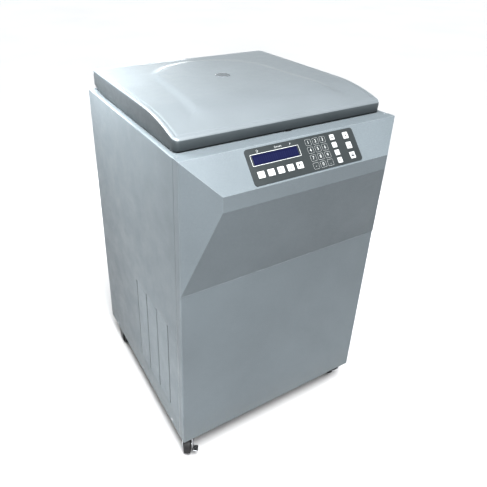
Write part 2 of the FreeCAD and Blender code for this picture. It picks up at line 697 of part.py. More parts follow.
def make_keypad_overlay():
    body = new_body("keypad_overlay")
    sketch = body_sketch(body)
    half = dim.overlay_width / 2
    bottom = -(dim.overlay_top + dim.overlay_high)
    rectangle(sketch, (-half, half), (bottom, -dim.overlay_top))
    pad(body, sketch, dim.overlay_sheet)
    round_edges(body, dim.overlay_corner, lambda edge: runs_along(edge, "z"))
    holes = body_sketch(body, "XY_Plane", dim.overlay_sheet)
    for _, x, v, wide, high in key_layout():
        rectangle(holes, (x - wide / 2 - dim.key_gap, x + wide / 2 + dim.key_gap),
                  (-v - high / 2 - dim.key_gap, -v + high / 2 + dim.key_gap))
    rectangle(holes, (dim.window_centre - dim.window_wide / 2, dim.window_centre + dim.window_wide / 2),
              (-dim.window_top - dim.window_high, -dim.window_top))
    pocket(body, holes, dim.overlay_sheet)
    on_slope(body)


def make_display_window():
    body = new_body("display_window")
    frame = 3
    centre, half = dim.window_centre, dim.window_wide / 2
    low, high = -dim.window_top - dim.window_high, -dim.window_top
    sketch = body_sketch(body, "XY_Plane", -dim.window_sheet)
    rectangle(sketch, (centre - half - frame, centre + half + frame), (low - frame, high + frame))
    pad(body, sketch, dim.window_sheet)
    lens = body_sketch(body)
    rectangle(lens, (centre - half + 0.1, centre + half - 0.1), (low + 0.1, high - 0.1))
    pad(body, lens, dim.overlay_sheet / 2)
    on_slope(body)


def make_control_board():
    body = new_body("control_board")
    half = dim.cut_half - 1
    sketch = body_sketch(body, "XY_Plane", -dim.board_drop)
    rectangle(sketch, (-half, half), (1 - dim.cut_bottom, -1 - dim.cut_top))
    pad(body, sketch, dim.board_sheet, reverse=True)
    parts = body_sketch(body, "XY_Plane", -dim.board_drop)
    rectangle(parts, (dim.window_centre - 58, dim.window_centre + 58),
              (-dim.window_top - dim.window_high, -dim.window_top))
    pad(body, parts, dim.board_drop - dim.window_sheet - 0.6)
    on_slope(body)


def make_key(label, x, v, wide, high):
    """Key cap with a captive flange under the overlay and a stem down to its switch."""
    body = new_body(label)
    cap = body_sketch(body, "XY_Plane", -dim.key_flange_sheet - 0.15)
    rectangle(cap, (x - wide / 2, x + wide / 2), (-v - high / 2, -v + high / 2))
    top = dim.overlay_sheet + dim.key_rise
    pad(body, cap, top + dim.key_flange_sheet + 0.15)
    round_edges(body, dim.key_corner, lambda edge: runs_along(edge, "z"))
    flange = body_sketch(body, "XY_Plane", -dim.key_flange_sheet - 0.15)
    grow = dim.key_flange
    rectangle(flange, (x - wide / 2 - grow, x + wide / 2 + grow),
              (-v - high / 2 - grow, -v + high / 2 + grow))
    pad(body, flange, dim.key_flange_sheet)
    stem = body_sketch(body, "XY_Plane", -dim.key_flange_sheet - 0.15)
    circle(stem, x, -v, dim.key_stem_radius)
    pad(body, stem, dim.key_stem - dim.key_flange_sheet - 0.15, reverse=True)

    def top_rim(edge):
        return middle_of(edge).z > top.value - 0.01
    round_edges(body, dim.key_rise / 2, top_rim)
    on_slope(body)


# ---------------------------------------------------------------- chamber
def turned(label, profile, base=0):
    """Body of revolution about the rotor axis; the profile holds (radius, height) corners."""
    body = new_body(label)
    outline(body_sketch(body, "XZ_Plane"), profile)
    revolve(body, body.Group[0])
    place(body, 0, ROTOR_Y, base)
    return body


def make_chamber():
    inner, wall, corner = dim.bowl_radius, dim.bowl_wall, dim.bowl_corner
    outer = inner + wall
    deep = dim.bowl_deep
    turned("chamber_bowl", [
        (dim.bowl_hole_radius, -wall), (outer - corner, -wall, corner), (outer, corner - wall),
        (outer, deep - wall), (dim.bowl_flange_radius, deep - wall), (dim.bowl_flange_radius, deep),
        (inner, deep), (inner, corner - wall, -corner + wall), (inner - corner + wall, 0),
        (dim.bowl_hole_radius, 0)], BOWL_FLOOR)
    turned("chamber_seal", [
        (dim.seal_inner, 0), (dim.seal_outer, 0), (dim.seal_outer, dim.seal_height - 3),
        (dim.seal_outer - 4, dim.seal_height), (dim.seal_inner + 2, dim.seal_height),
        (dim.seal_inner, dim.seal_height - 2)], BOWL_RIM)
    low = dim.drive_deck_level + dim.drive_deck_sheet
    high = BOWL_RIM - wall - low
    turned("guard_ring", [
        (dim.guard_inner, 0), (dim.guard_inner + dim.guard_wall, 0),
        (dim.guard_inner + dim.guard_wall, high), (dim.guard_inner, high)], low)


def make_evaporator_coil():
    """Rings round the bowl joined by a riser, with the suction line down to the compressor."""
    radius, tube, pipe = dim.coil_radius.value, dim.coil_tube.value, dim.suction_radius.value
    start, pitch = dim.coil_start.value, dim.coil_pitch.value
    turns = count(dim.coil_turns)
    rings = [Part.makeTorus(radius, tube, Vector(0, 0, start + pitch * turn))
             for turn in range(turns)]
    corner = radius * math.sqrt(0.5)
    riser = Part.makeCylinder(pipe, pitch * (turns - 1), Vector(corner, corner, start))
    low = Vector(0, radius, dim.stub_level.value)
    down = Part.makeCylinder(pipe, start - low.z, low)
    across = Part.makeCylinder(pipe, dim.stub_end.value, low, Vector(1, 0, 0))
    elbow = Part.makeSphere(pipe, low)
    feature = doc.addObject("Part::Feature", "evaporator_coil")
    feature.Shape = rings[0].multiFuse(rings[1:] + [riser, down, across, elbow])
    place(feature, 0, ROTOR_Y, 0)
    keep(feature, "evaporator_coil")


# ---------------------------------------------------------------- rotor
def make_rotor():
    foot, seat = dim.spindle_foot, dim.seat_level
    thin, collar, nose = dim.spindle_radius, dim.spindle_collar, dim.spindle_nose
    top = seat + dim.hub_height + dim.nut_height + 4
    turned("drive_spindle", [
        (0, foot), (thin, foot), (thin, dim.motor_boss_high + 1),
        (collar, dim.motor_boss_high + 1), (collar, seat - 10), (dim.spindle_seat, seat - 10),
        (dim.spindle_seat, seat), (nose, seat), (nose, top - 3), (nose - 3, top), (0, top)])
    body = new_body("rotor_yoke")
    arms = body_sketch(body, "XY_Plane", dim.yoke_low)
    face, tip, end = dim.arm_face, dim.arm_tip, dim.arm_end
    out, near, start = dim.neck_out, dim.neck_in, dim.neck_start
    outline(arms, [(0, 0), (start, near), (out, face), (end, face), (end, tip),
                   (tip, end), (face, end), (face, out), (near, start)])
    arm = pad(body, arms, dim.yoke_high - dim.yoke_low)
    polar(body, [arm], 4, "Z_Axis")
    hub = body_sketch(body, "XY_Plane", dim.seat_level)
    circle(hub, 0, 0, dim.hub_radius)
    pad(body, hub, dim.hub_height)
    pin = body_sketch(body, "XZ_Plane", -face)
    circle(pin, dim.pivot_radius, dim.pivot_level, dim.pin_radius)
    first = pad(body, pin, dim.pin_length)
    other = body_sketch(body, "YZ_Plane", face)
    circle(other, dim.pivot_radius, dim.pivot_level, dim.pin_radius)
    second = pad(body, other, dim.pin_length, reverse=True)
    polar(body, [first, second], 4, "Z_Axis")
    bore = body_sketch(body, "XY_Plane", dim.seat_level)
    circle(bore, 0, 0, dim.spindle_nose)
    pocket(body, bore, dim.hub_height, reverse=True)
    place(body, 0, ROTOR_Y, 0)
    nut = new_body("rotor_nut")
    sketch = body_sketch(nut)
    circle(sketch, 0, 0, dim.nut_radius)
    circle(sketch, 0, 0, dim.spindle_nose)
    pad(nut, sketch, dim.nut_height)
    round_edges(nut, 2, lambda edge: middle_of(edge).z > dim.nut_height.value - 0.01
                and edge.BoundBox.XLength > 2 * dim.nut_radius.value - 1, "Chamfer")
    slots = body_sketch(nut, "XY_Plane", dim.nut_height)
    rectangle(slots, (-3, 3), (dim.nut_radius - 3, dim.nut_radius + 1))
    flute = pocket(nut, slots, dim.nut_height - 4)
    polar(nut, [flute], 8, "Z_Axis")
    place(nut, 0, ROTOR_Y, dim.seat_level + dim.hub_height)


def make_bucket(label, angle):
    """Swing-out bucket with two trunnion sockets; it hangs on the yoke's pins."""
    body = new_body(label)
    outer, inner, floor = dim.bucket_outer, dim.bucket_inner, dim.bucket_floor
    below, above, soft = dim.bucket_below, dim.bucket_above, dim.bucket_round
    wall = outer - inner
    cup = body_sketch(body, "XZ_Plane")
    outline(cup, [(0, -below), (outer - soft, -below, soft), (outer, soft - below),
                  (outer, above), (inner, above), (inner, floor - below + soft - wall, wall - soft),
                  (inner - soft + wall, floor - below), (0, floor - below)])
    revolve(body, cup)
    for side in (-1, 1):
        boss = body_sketch(body, "XZ_Plane", -dim.boss_root * side)
        circle(boss, 0, 0, dim.boss_radius)
        pad(body, boss, dim.boss_face - dim.boss_root, reverse=side > 0)
        socket = body_sketch(body, "XZ_Plane", -dim.boss_face * side)
        circle(socket, 0, 0, dim.socket_radius)
        pocket(body, socket, dim.boss_face - dim.socket_floor, reverse=side > 0)
    turn = math.radians(angle)
    across = round(math.cos(turn))
    along = round(math.sin(turn))
    place(body, dim.pivot_radius * across, ROTOR_Y + dim.pivot_radius * along, dim.pivot_level,
          Rotation(Vector(0, 0, 1), angle))


# ---------------------------------------------------------------- drive motor and mounts
def make_drive_motor():
    can, flange, boss = dim.motor_radius, dim.motor_flange_radius, dim.motor_boss_radius
    low, plate_low, plate_high = dim.motor_low, dim.motor_flange_low, dim.motor_flange_high
    bore, foot, top = dim.bearing_radius, dim.spindle_foot - 2, dim.motor_boss_high
    turned("drive_motor", [
        (0, low), (can - 8, low), (can, low + 8), (can, plate_low), (flange, plate_low),
        (flange, plate_high), (boss, plate_high), (boss, top), (bore, top), (bore, foot), (0, foot)])


def make_rubber_mounts():
    solids = []
    low = dim.drive_deck_level.value + dim.drive_deck_sheet.value
    for quarter in range(4):
        angle = math.radians(45 + 90 * quarter)
        where = Vector(dim.mount_circle.value * math.cos(angle),
                       ROTOR_Y.value - FRONT.value + dim.mount_circle.value * math.sin(angle), low)
        solids.append(Part.makeCylinder(dim.mount_radius.value, dim.motor_flange_low.value - low, where))
    for across in (-1, 1):
        for along in (-1, 1):
            where = Vector(dim.compressor_x.value + dim.foot_x.value * across,
                           dim.compressor_depth.value + dim.foot_y.value * along, TRAY_TOP.value)
            solids.append(Part.makeCylinder(dim.foot_radius.value,
                                            dim.foot_high.value - TRAY_TOP.value, where))
    group("rubber_mounts", solids, 0, FRONT, 0)


# ---------------------------------------------------------------- refrigeration
def make_compressor():
    body = new_body("compressor")
    base = body_sketch(body, "XY_Plane", dim.foot_high)
    across, along = dim.foot_x + dim.plate_margin, dim.foot_y + dim.plate_margin
    rectangle(base, (-across, across), (-along, along))
    pad(body, base, dim.compressor_low - dim.foot_high)
    round_edges(body, dim.plate_margin, lambda edge: runs_along(edge, "z"))
    radius, low, high, dome = (dim.compressor_radius, dim.compressor_low, dim.compressor_high,
                               dim.compressor_dome)
    pot = body_sketch(body, "XZ_Plane")
    outline(pot, [(0, low), (radius, low), (radius, high - dome, dome), (radius - dome, high),
                  (0, high)])
    revolve(body, pot)
    stub = body_sketch(body, "YZ_Plane", dim.stub_end - dim.compressor_x)
    circle(stub, dim.rotor_depth + dim.coil_radius - dim.compressor_depth, dim.stub_level,
           dim.stub_radius)
    pad(body, stub, 40)
    box = body_sketch(body, "YZ_Plane", dim.compressor_radius - 6)
    rectangle(box, (-26, 26), (180, 240))
    pad(body, box, 26)
    place(body, dim.compressor_x, FRONT + dim.compressor_depth, 0)


def make_condenser():
    wide, long, tall = dim.condenser_wide, dim.condenser_long, dim.condenser_tall
    low, back = dim.condenser_low, -dim.condenser_x
    front = FRONT + dim.condenser_front
    step = (long - dim.fin_sheet) / (count(dim.fin_count) - 1)
    fins = []
    for index in range(count(dim.fin_count)):
        y = front + step * index
        fins.append(block((back, back + wide), (y, y + dim.fin_sheet), (low, low + tall)))
    tubes = []
    for index in range(count(dim.tube_rows)):
        z = low + tall * (index + 0.5) / dim.tube_rows
        tubes.append(rod("y", dim.tube_radius, front - 8, front + long + 8, back + wide / 2, z))
    plates = [block((back, back + wide), (front - 2, front + dim.fin_sheet), (low - 10, low + tall + 10)),
              block((back, back + wide), (front + long - dim.fin_sheet, front + long + 2),
                    (low - 10, low + tall + 10))]
    feet = block((back, back + wide), (front - 2, front + long + 2), (TRAY_TOP, low - 9))
    keep(fuse(*fins, *tubes, *plates, feet), "condenser")


def make_fan():
    """Axial fan in one frame with its motor hub; the blade wheel turns on the hub's shaft."""
    y = FRONT + dim.condenser_front + dim.condenser_long / 2
    z, half = dim.fan_level, dim.fan_side / 2
    back, front = -dim.fan_back, -dim.fan_front
    plate = block((back, front), (y - half, y + half), (z - half, z + half))
    bore = rod("x", dim.fan_bore, back - 1, front + 1, y, z)
    frame = cut(plate, bore)
    strut, hub = dim.fan_strut / 2, dim.fan_hub
    reach = dim.fan_bore + 2
    struts = [block((front - 6, front), (y - reach, y + reach), (z - strut, z + strut)),
              block((front - 6, front), (y - strut, y + strut), (z - reach, z + reach))]
    motor = rod("x", hub, front - 20, front, y, z)
    shaft = rod("x", dim.fan_shaft, front - 44, front - 20, y, z)
    foot = block((back, front), (y - half, y + half), (TRAY_TOP, z - half))
    keep(fuse(frame, *struts, motor, shaft, foot), "fan_frame")
    body = new_body("fan_rotor")
    cup = body_sketch(body)
    circle(cup, 0, 0, hub)
    pad(body, cup, 20)
    blade = body_sketch(body, "XY_Plane", 2)
    sheet_half = dim.blade_sheet / 2
    outline(blade, [(hub - 4, -sheet_half - 5), (dim.blade_tip, -sheet_half - 16),
                    (dim.blade_tip, sheet_half - 10), (hub - 4, sheet_half + 3)])
    first = pad(body, blade, 15)
    polar(body, [first], count(dim.blade_count), "Z_Axis")
    bore = body_sketch(body)
    circle(bore, 0, 0, dim.fan_shaft_bore)
    pocket(body, bore, 20, reverse=True)
    place(body, front - 42, y, z, AIM["x"])


# ---------------------------------------------------------------- lid, hinge, latch
def lid_profile(inset):
    """Side view of the lid, as (depth, height above the deck) corners, offset inwards."""
    front, back = dim.lid_front + inset, dim.lid_back - inset
    crown = dim.lid_crown_radius - inset
    return [(front, dim.lid_gap), (front, dim.lid_rise_front - inset, -crown),
            (dim.lid_middle, dim.lid_rise_middle - inset), (back, dim.lid_rise_rear - inset),
            (back, dim.lid_chamfer_rise), (dim.lid_chamfer_start, dim.lid_gap)]


def make_lid_shell():
    body = new_body("lid_shell")
    half, wall = dim.lid_width / 2, dim.lid_wall
    side_view = body_sketch(body, "YZ_Plane", -half)
    outline(side_view, lid_profile(size(0)))
    pad(body, side_view, dim.lid_width)

    def upper_rim(edge):
        spot = middle_of(edge)
        high = spot.z > dim.lid_rise_front.value - 1
        return high and not (runs_along(edge, "x") and 100 < spot.y < dim.lid_back.value - 5)
    round_edges(body, dim.lid_edge_radius, upper_rim)
    hollow = body_sketch(body, "YZ_Plane", wall - half)
    front, back = dim.lid_front + wall, dim.lid_back - wall
    start = dim.lid_chamfer_start
    outline(hollow, [(front, 0), (front, dim.lid_rise_front - wall, wall - dim.lid_crown_radius),
                     (dim.lid_middle, dim.lid_rise_middle - wall), (back, dim.lid_rise_rear - wall),
                     (back, dim.lid_chamfer_rise + wall), (start, dim.lid_gap + wall), (start, 0)])
    pocket(body, hollow, dim.lid_width - wall * 2, reverse=True)
    seat = body_sketch(body, "XY_Plane", 0)
    rectangle(seat, (-dim.liner_notch_half - 1, dim.liner_notch_half + 1),
              (start - 1, dim.liner_rear + 1))
    pocket(body, seat, dim.liner_gap + dim.liner_sheet + 12, reverse=True)
    port = body_sketch(body, "XY_Plane", dim.lid_rise_rear + 6)
    circle(port, 0, dim.port_depth, dim.port_radius - 3)
    pocket(body, port, 30)
    place(body, 0, FRONT, DECK)


def make_lid_liner():
    body = new_body("lid_liner")
    half = dim.lid_width / 2 - dim.lid_wall - dim.liner_edge_gap
    notch = dim.liner_notch_half
    front = dim.lid_front + dim.lid_wall + dim.liner_edge_gap
    plan = body_sketch(body, "XY_Plane", dim.liner_gap)
    outline(plan, [(-half, front), (half, front), (half, dim.lid_chamfer_start - 3),
                   (notch, dim.lid_chamfer_start - 3), (notch, dim.liner_rear),
                   (-notch, dim.liner_rear), (-notch, dim.lid_chamfer_start - 3),
                   (-half, dim.lid_chamfer_start - 3)])
    pad(body, plan, dim.liner_sheet)
    plug = body_sketch(body, "XY_Plane", dim.liner_gap + dim.liner_sheet)
    circle(plug, 0, dim.rotor_depth, dim.plug_radius)
    pad(body, plug, dim.plug_depth + dim.liner_sheet, reverse=True)
    port = body_sketch(body, "XY_Plane", dim.liner_gap + dim.liner_sheet)
    circle(port, 0, dim.port_depth, dim.port_radius - 3)
    pocket(body, port, dim.plug_depth + dim.liner_sheet)
    place(body, 0, FRONT, DECK)


def make_sight_port():
    body = new_body("lid_sight_port")
    top = port_level()
    low = dim.liner_gap - dim.plug_depth + 2
    radius = dim.port_radius
    sketch = body_sketch(body, "XZ_Plane")
    outline(sketch, [(0, low), (radius - 3.3, low), (radius - 3.3, top), (radius, top),
                     (radius, top + dim.port_rise - 1), (radius - 1.5, top + dim.port_rise),
                     (0, top + dim.port_rise)])
    revolve(body, sketch)
    place(body, 0, FRONT + dim.port_depth, DECK)


def port_level():
    """Height of the lid's crown above the deck at the sight port, just clear of the skin."""
    slope = (dim.lid_rise_rear - dim.lid_rise_middle) / (dim.lid_back - dim.lid_middle)
    return dim.lid_rise_middle + slope * (dim.port_depth + dim.port_radius - dim.lid_middle) + 0.02


def make_lid_striker():
    half, window = dim.striker_half - 1, dim.striker_window_half - 0.5
    front, back = FRONT + dim.striker_front, FRONT + dim.striker_back
    foot = DECK - dim.striker_foot
    plate = block((-half, half), (front, back), (foot, LINER_UNDER))
    hole = block((-window, window), (front - 1, back + 1),
                 (foot + dim.striker_bar, foot + dim.striker_bar + 10))
    keep(cut(plate, hole), "lid_striker")


def make_hinge():
    depth, rise = FRONT + dim.hinge_depth, DECK + dim.hinge_rise
    slope = (dim.lid_chamfer_rise - dim.lid_gap) / (dim.lid_back - dim.lid_chamfer_start)
    feet, arms = [], []
    for side in (-1, 1):
        x = dim.hinge_span * side
        foot_half = dim.hinge_foot_length / 2
        feet.append(block((x - dim.ear_outer, x + dim.ear_outer), (depth - foot_half + 6, depth + foot_half),
                          (DECK, DECK + dim.hinge_foot)))
        for ear in (-1, 1):
            inner, outer = x + dim.ear_inner * ear, x + dim.ear_outer * ear
            start, stop = (inner, outer) if ear > 0 else (outer, inner)
            radius = dim.knuckle_radius
            feet.append(block((start, stop), (depth - radius, depth + radius), (DECK + 1, rise)))
            feet.append(rod("x", radius, start, stop, depth, rise))
        feet.append(rod("x", dim.hinge_pin_radius, x - dim.ear_outer, x + dim.ear_outer, depth, rise))
        low, high = x - dim.knuckle_half, x + dim.knuckle_half
        knuckle = rod("x", dim.knuckle_radius, low, high, depth, rise)
        first, last = dim.leaf_start, dim.hinge_depth - 6
        leaf = prism("x", low, high, [
            (FRONT + first, DECK + dim.leaf_low), (depth, DECK + dim.leaf_low),
            (depth, rise + 5),
            (FRONT + last, DECK + dim.lid_gap + slope * (last - dim.lid_chamfer_start)),
            (FRONT + first, DECK + dim.lid_gap + slope * (first - dim.lid_chamfer_start))])
        bore = rod("x", dim.hinge_bore_radius, low - 1, high + 1, depth, rise)
        arms.append(cut(fuse(knuckle, leaf), bore))
    keep(fuse(*feet), "hinge_brackets")
    keep(fuse(*arms), "lid_hinge_arms")


def make_latch_hook():
    y, z = FRONT + dim.latch_pivot_depth, DECK - dim.latch_pivot_drop
    low, high = -dim.hook_half, dim.hook_half
    boss = rod("x", dim.hook_boss_radius, low, high, y, z)
    top, beak = DECK - dim.hook_tip_drop, DECK - dim.hook_beak_drop
    arm = prism("x", low, high, [
        (y - 5, z), (y + 4, z), (y + 4, z + 12), (y - 2, z + 30), (y - 2, beak),
        (y + dim.hook_reach, beak), (y + dim.hook_reach, beak + 2), (y, top), (y - 4, top)])
    bore = rod("x", dim.latch_bore_radius, low - 1, high + 1, y, z)
    keep(cut(fuse(boss, arm), bore), "latch_hook")


# ---------------------------------------------------------------- rear services
def make_mains_inlet():
    x, z, half = dim.inlet_x, dim.inlet_level, dim.inlet_body_wide / 2
    tall = dim.inlet_body_tall / 2
    flange = block((x - dim.inlet_wide / 2, x + dim.inlet_wide / 2), (REAR, REAR + dim.inlet_flange),
                   (z - dim.inlet_tall / 2, dim.rocker_level + 24))
    shell = block((x - half, x + half), (REAR - dim.inlet_body_deep, REAR + dim.inlet_flange),
                  (z - tall, z + tall))
    socket = block((x - dim.socket_wide / 2, x + dim.socket_wide / 2),
                   (REAR + dim.inlet_flange - dim.socket_deep, REAR + dim.inlet_flange + 1),
                   (z - dim.socket_tall / 2, z + dim.socket_tall / 2))
    pins = [block((x + offset - 1, x + offset + 1), (REAR + dim.inlet_flange - dim.socket_deep - 1, REAR - 2),
                  (z + lift - 2, z + lift + 2)) for offset, lift in ((-7, -3), (0, 4), (7, -3))]
    level = dim.rocker_level
    well_wide, well_tall = dim.rocker_wide / 2 + 1, dim.rocker_tall / 2 + 3
    box = block((x - well_wide - 3, x + well_wide + 3), (REAR - dim.rocker_deep - 6, REAR + 1),
                (level - well_tall - 2, level + well_tall + 2))
    well = block((x - well_wide, x + well_wide), (REAR - dim.rocker_deep, REAR + dim.inlet_flange + 1),
                 (level - well_tall, level + well_tall))
    pin = rod("x", dim.rocker_pin, x - well_wide - 1, x + well_wide + 1, REAR - 4, level)
    hollowed = cut(fuse(flange, shell, box), socket, well)
    keep(fuse(hollowed, *pins, pin), "mains_inlet")


def make_power_rocker():
    x, z, y = dim.inlet_x, dim.rocker_level, REAR - 4
    half, tall = dim.rocker_wide / 2, dim.rocker_tall / 2
    face = prism("x", x - half, x + half, [
        (y - 4, z - 6), (y + 6.3, z - tall), (y + 4.6, z), (y + 6.3, z + tall), (y - 4, z + 6)])
    hub = rod("x", 4, x - half, x + half, y, z)
    bore = rod("x", dim.rocker_bore, x - half - 1, x + half + 1, y, z)
    keep(cut(fuse(face, hub), bore), "power_rocker")


def make_drain_spout():
    """Condensate hose tail through the rear panel, with a flange on each side."""
    body = new_body("drain_spout")
    radius, bore, flange = dim.spout_radius, dim.spout_bore, dim.spout_flange
    inside, reach = -dim.spout_inside, dim.spout_reach
    sketch = body_sketch(body, "XZ_Plane")
    outline(sketch, [(bore, inside), (radius, inside), (radius, 0), (flange, 0), (flange, 2),
                     (radius, 2), (radius, reach - 1), (radius - 1, reach), (bore, reach)])
    revolve(body, sketch)
    place(body, dim.spout_x, REAR, dim.spout_level, AIM["y"])


# ---------------------------------------------------------------- casters
def make_wheel(label, x, y, swivel=0):
    body = new_body(label)
    radius, half, soft = dim.wheel_radius, dim.wheel_width / 2, dim.tread_round
    rim = radius - 7
    sketch = body_sketch(body, "XZ_Plane")
    outline(sketch, [
        (dim.wheel_bore, -half - 1.5), (8, -half - 1.5), (8, 3 - half), (rim, 3 - half),
        (rim, -half), (radius - soft, -half, soft), (radius, soft - half), (radius, half - soft, soft),
        (radius - soft, half), (rim, half), (rim, half - 3), (8, half - 3), (8, half + 1.5),
        (dim.wheel_bore, half + 1.5)])
    revolve(body, sketch)
    place(body, x, y, radius, Rotation(Vector(0, 0, 1), swivel) * AIM["x"])


def make_front_caster(label, side, swivel):
    """Swivel fork, wheel and brake lever, drawn about the king pin and then turned about it."""
    x, y = dim.front_caster_x * side, FRONT + dim.front_caster
    angle = math.radians(swivel.value)
    turn = Rotation(Vector(0, 0, 1), swivel.value)
    fork = make_fork()
    place(fork, x, y, 0, turn)
    keep(fork, f"{label}_caster_fork")
    trail = dim.caster_trail
    make_wheel(f"{label}_wheel", x - trail * math.sin(angle), y + trail * math.cos(angle),
               swivel.value)
    lever = make_brake_lever()
    place(lever, x, y, 0, turn)
    keep(lever, f"{label}_brake_pedal")


def make_fork():
    head, trail, outer = dim.fork_head, dim.caster_trail, dim.fork_outer
    root, notch = dim.fork_root, dim.fork_notch
    parts = [rod("z", dim.swivel_radius, head, dim.swivel_top, 0, 0),
             rod("z", dim.king_radius, head, dim.king_nut_high, 0, 0),
             rod("z", dim.king_nut_radius, dim.king_nut_low, dim.king_nut_high, 0, 0),
             rod("x", dim.axle_radius, -outer, outer, trail, dim.wheel_radius),
             rod("x", dim.brake_pin, -outer, outer, dim.brake_y, dim.brake_z)]
    for start, stop in ((-outer, -dim.fork_inner), (dim.fork_inner, outer)):
        parts.append(prism("x", start, stop, [
            (-root, head + 1), (-root, dim.brake_z - notch), (-notch, dim.brake_z - notch),
            *fork_toe(trail), (trail, head + 1)]))
    return fuse(*parts)


def make_brake_lever():
    """Cam between the fork's cheeks and a lever that runs along the outside of one cheek."""
    y, z, half = dim.brake_y, dim.brake_z, dim.brake_half
    cam_y, cam_z = dim.brake_cam_y, dim.brake_cam_z
    back, root = y - dim.lever_back, y - dim.lever_root
    near = -dim.fork_outer - dim.lever_gap
    side = near - dim.lever_sheet
    start, end, level, thick = dim.lever_start, dim.lever_end, dim.lever_level, dim.lever_sheet
    hub = rod("x", dim.brake_hub, -half, half, y, z)
    cam = rod("x", dim.brake_cam_radius, -half, half, cam_y, cam_z)
    web = prism("x", -half, half, [(y - 3, z), (cam_y - 2.6, cam_z), (cam_y + 2, cam_z + 1), (y + 4, z)])
    neck = prism("x", -half, half, [(root - 1, z + 1), (root - 1, z - 2.4), (y, z - 3), (y, z + 3)])
    bar = block((side, half), (back, root), (z - 2.4, z + 1))
    arm = prism("x", side, near, [(back, z + 1), (back, z - 2.4), (start, level), (end, level),
                                  (end, level + thick), (start, level + thick + 1)])
    tread = block((near - dim.lever_wide, near), (start, end), (level, level + thick))
    bore = rod("x", dim.brake_bore, -half - 1, half + 1, y, z)
    return cut(fuse(hub, cam, web, neck, bar, arm, tread), bore)


# ---------------------------------------------------------------- assembly
def build():
    make_base_tray()
    make_frame_posts()
    make_drive_deck()
    make_front_panel()
    make_console_hood()
    make_side_panel("left_side_panel", -1)
    make_side_panel("right_side_panel", 1)
    make_rear_panel()
    make_top_deck()
    make_panel_screws()
    make_keypad_overlay()
    make_display_window()
    make_control_board()
    for key in key_layout():
        make_key(*key)
    make_chamber()
    make_evaporator_coil()
    make_rotor()
    for name, angle in (("right", 0), ("rear", 90), ("left", 180), ("front", 270)):
        make_bucket(f"bucket_{name}", angle)
    make_drive_motor()
    make_rubber_mounts()
    make_compressor()
    make_condenser()
    make_fan()
    make_lid_shell()
    make_lid_liner()
    make_sight_port()
    make_lid_striker()
    make_hinge()
    make_latch_hook()
    make_mains_inlet()
    make_power_rocker()
    make_drain_spout()
    for name, side, swivel in (("left", -1, dim.left_swivel), ("right", 1, dim.right_swivel)):
        make_front_caster(f"front_{name}", side, swivel)
        make_wheel(f"rear_{name}_wheel", dim.rear_caster_x * side, FRONT + dim.rear_caster)


def check_and_write():
    doc.recompute()
    failed = [obj.Label for obj in doc.Objects
              if "Invalid" in obj.State or "Error" in obj.State]
    for piece in PIECES:
        shape = piece.Shape
        if shape.isNull() or not shape.isValid() or not shape.Solids:
            failed.append(f"{piece.Label} has no valid solid")
    if failed:
        raise RuntimeError("failed: " + ", ".join(failed))
    os.makedirs("parts", exist_ok=True)
    for piece in PIECES:
        piece.Shape.exportStep(f"parts/{piece.Label}.step")
        box = piece.Shape.BoundBox
        print(f"{piece.Label:22s} solids {len(piece.Shape.Solids)} volume {piece.Shape.Volume:12.1f}"
              f"  x {box.XMin:7.1f} {box.XMax:7.1f}  y {box.YMin:7.1f} {box.YMax:7.1f}"
              f"  z {box.ZMin:7.1f} {box.ZMax:7.1f}")
    print(len(PIECES), "pieces")


build()
check_and_write()
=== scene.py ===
"""Looks of the floor-standing laboratory centrifuge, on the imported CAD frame. All lengths in metres."""
import math
import bmesh
import bpy
from mathutils import Matrix, Vector


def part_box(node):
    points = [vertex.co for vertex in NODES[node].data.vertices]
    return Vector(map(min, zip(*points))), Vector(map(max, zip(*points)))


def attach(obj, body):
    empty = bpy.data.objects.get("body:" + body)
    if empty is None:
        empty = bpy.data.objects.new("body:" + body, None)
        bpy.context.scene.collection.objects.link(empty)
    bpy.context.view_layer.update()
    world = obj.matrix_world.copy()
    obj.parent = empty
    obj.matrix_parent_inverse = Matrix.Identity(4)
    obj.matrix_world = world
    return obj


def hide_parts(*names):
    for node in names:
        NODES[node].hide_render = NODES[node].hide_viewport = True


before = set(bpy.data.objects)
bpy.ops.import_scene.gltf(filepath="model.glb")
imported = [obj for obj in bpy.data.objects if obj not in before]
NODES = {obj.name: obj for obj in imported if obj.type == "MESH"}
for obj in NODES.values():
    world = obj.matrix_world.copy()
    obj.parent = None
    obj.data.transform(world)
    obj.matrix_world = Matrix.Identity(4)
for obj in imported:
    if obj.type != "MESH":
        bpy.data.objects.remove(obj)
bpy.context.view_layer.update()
# The cabinet's front face and deck, and the rotor's vertical axis, which the turned metal is ringed about.
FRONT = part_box("front_panel")[0][1]
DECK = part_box("top_deck")[1][2]
ROTOR_AXIS = (0.0, FRONT + 0.296)
# Corners of a mesh that lie closer than this are joined.
WELD = 0.00002
# A quarter turn in steps of 15 degrees, for rolled edges.
QUARTER_TURN = [math.radians(15 * step) for step in range(7)]


def add_object(name, data):
    """A new object, linked to the scene."""
    thing = bpy.data.objects.new(name, data)
    bpy.context.scene.collection.objects.link(thing)
    return thing


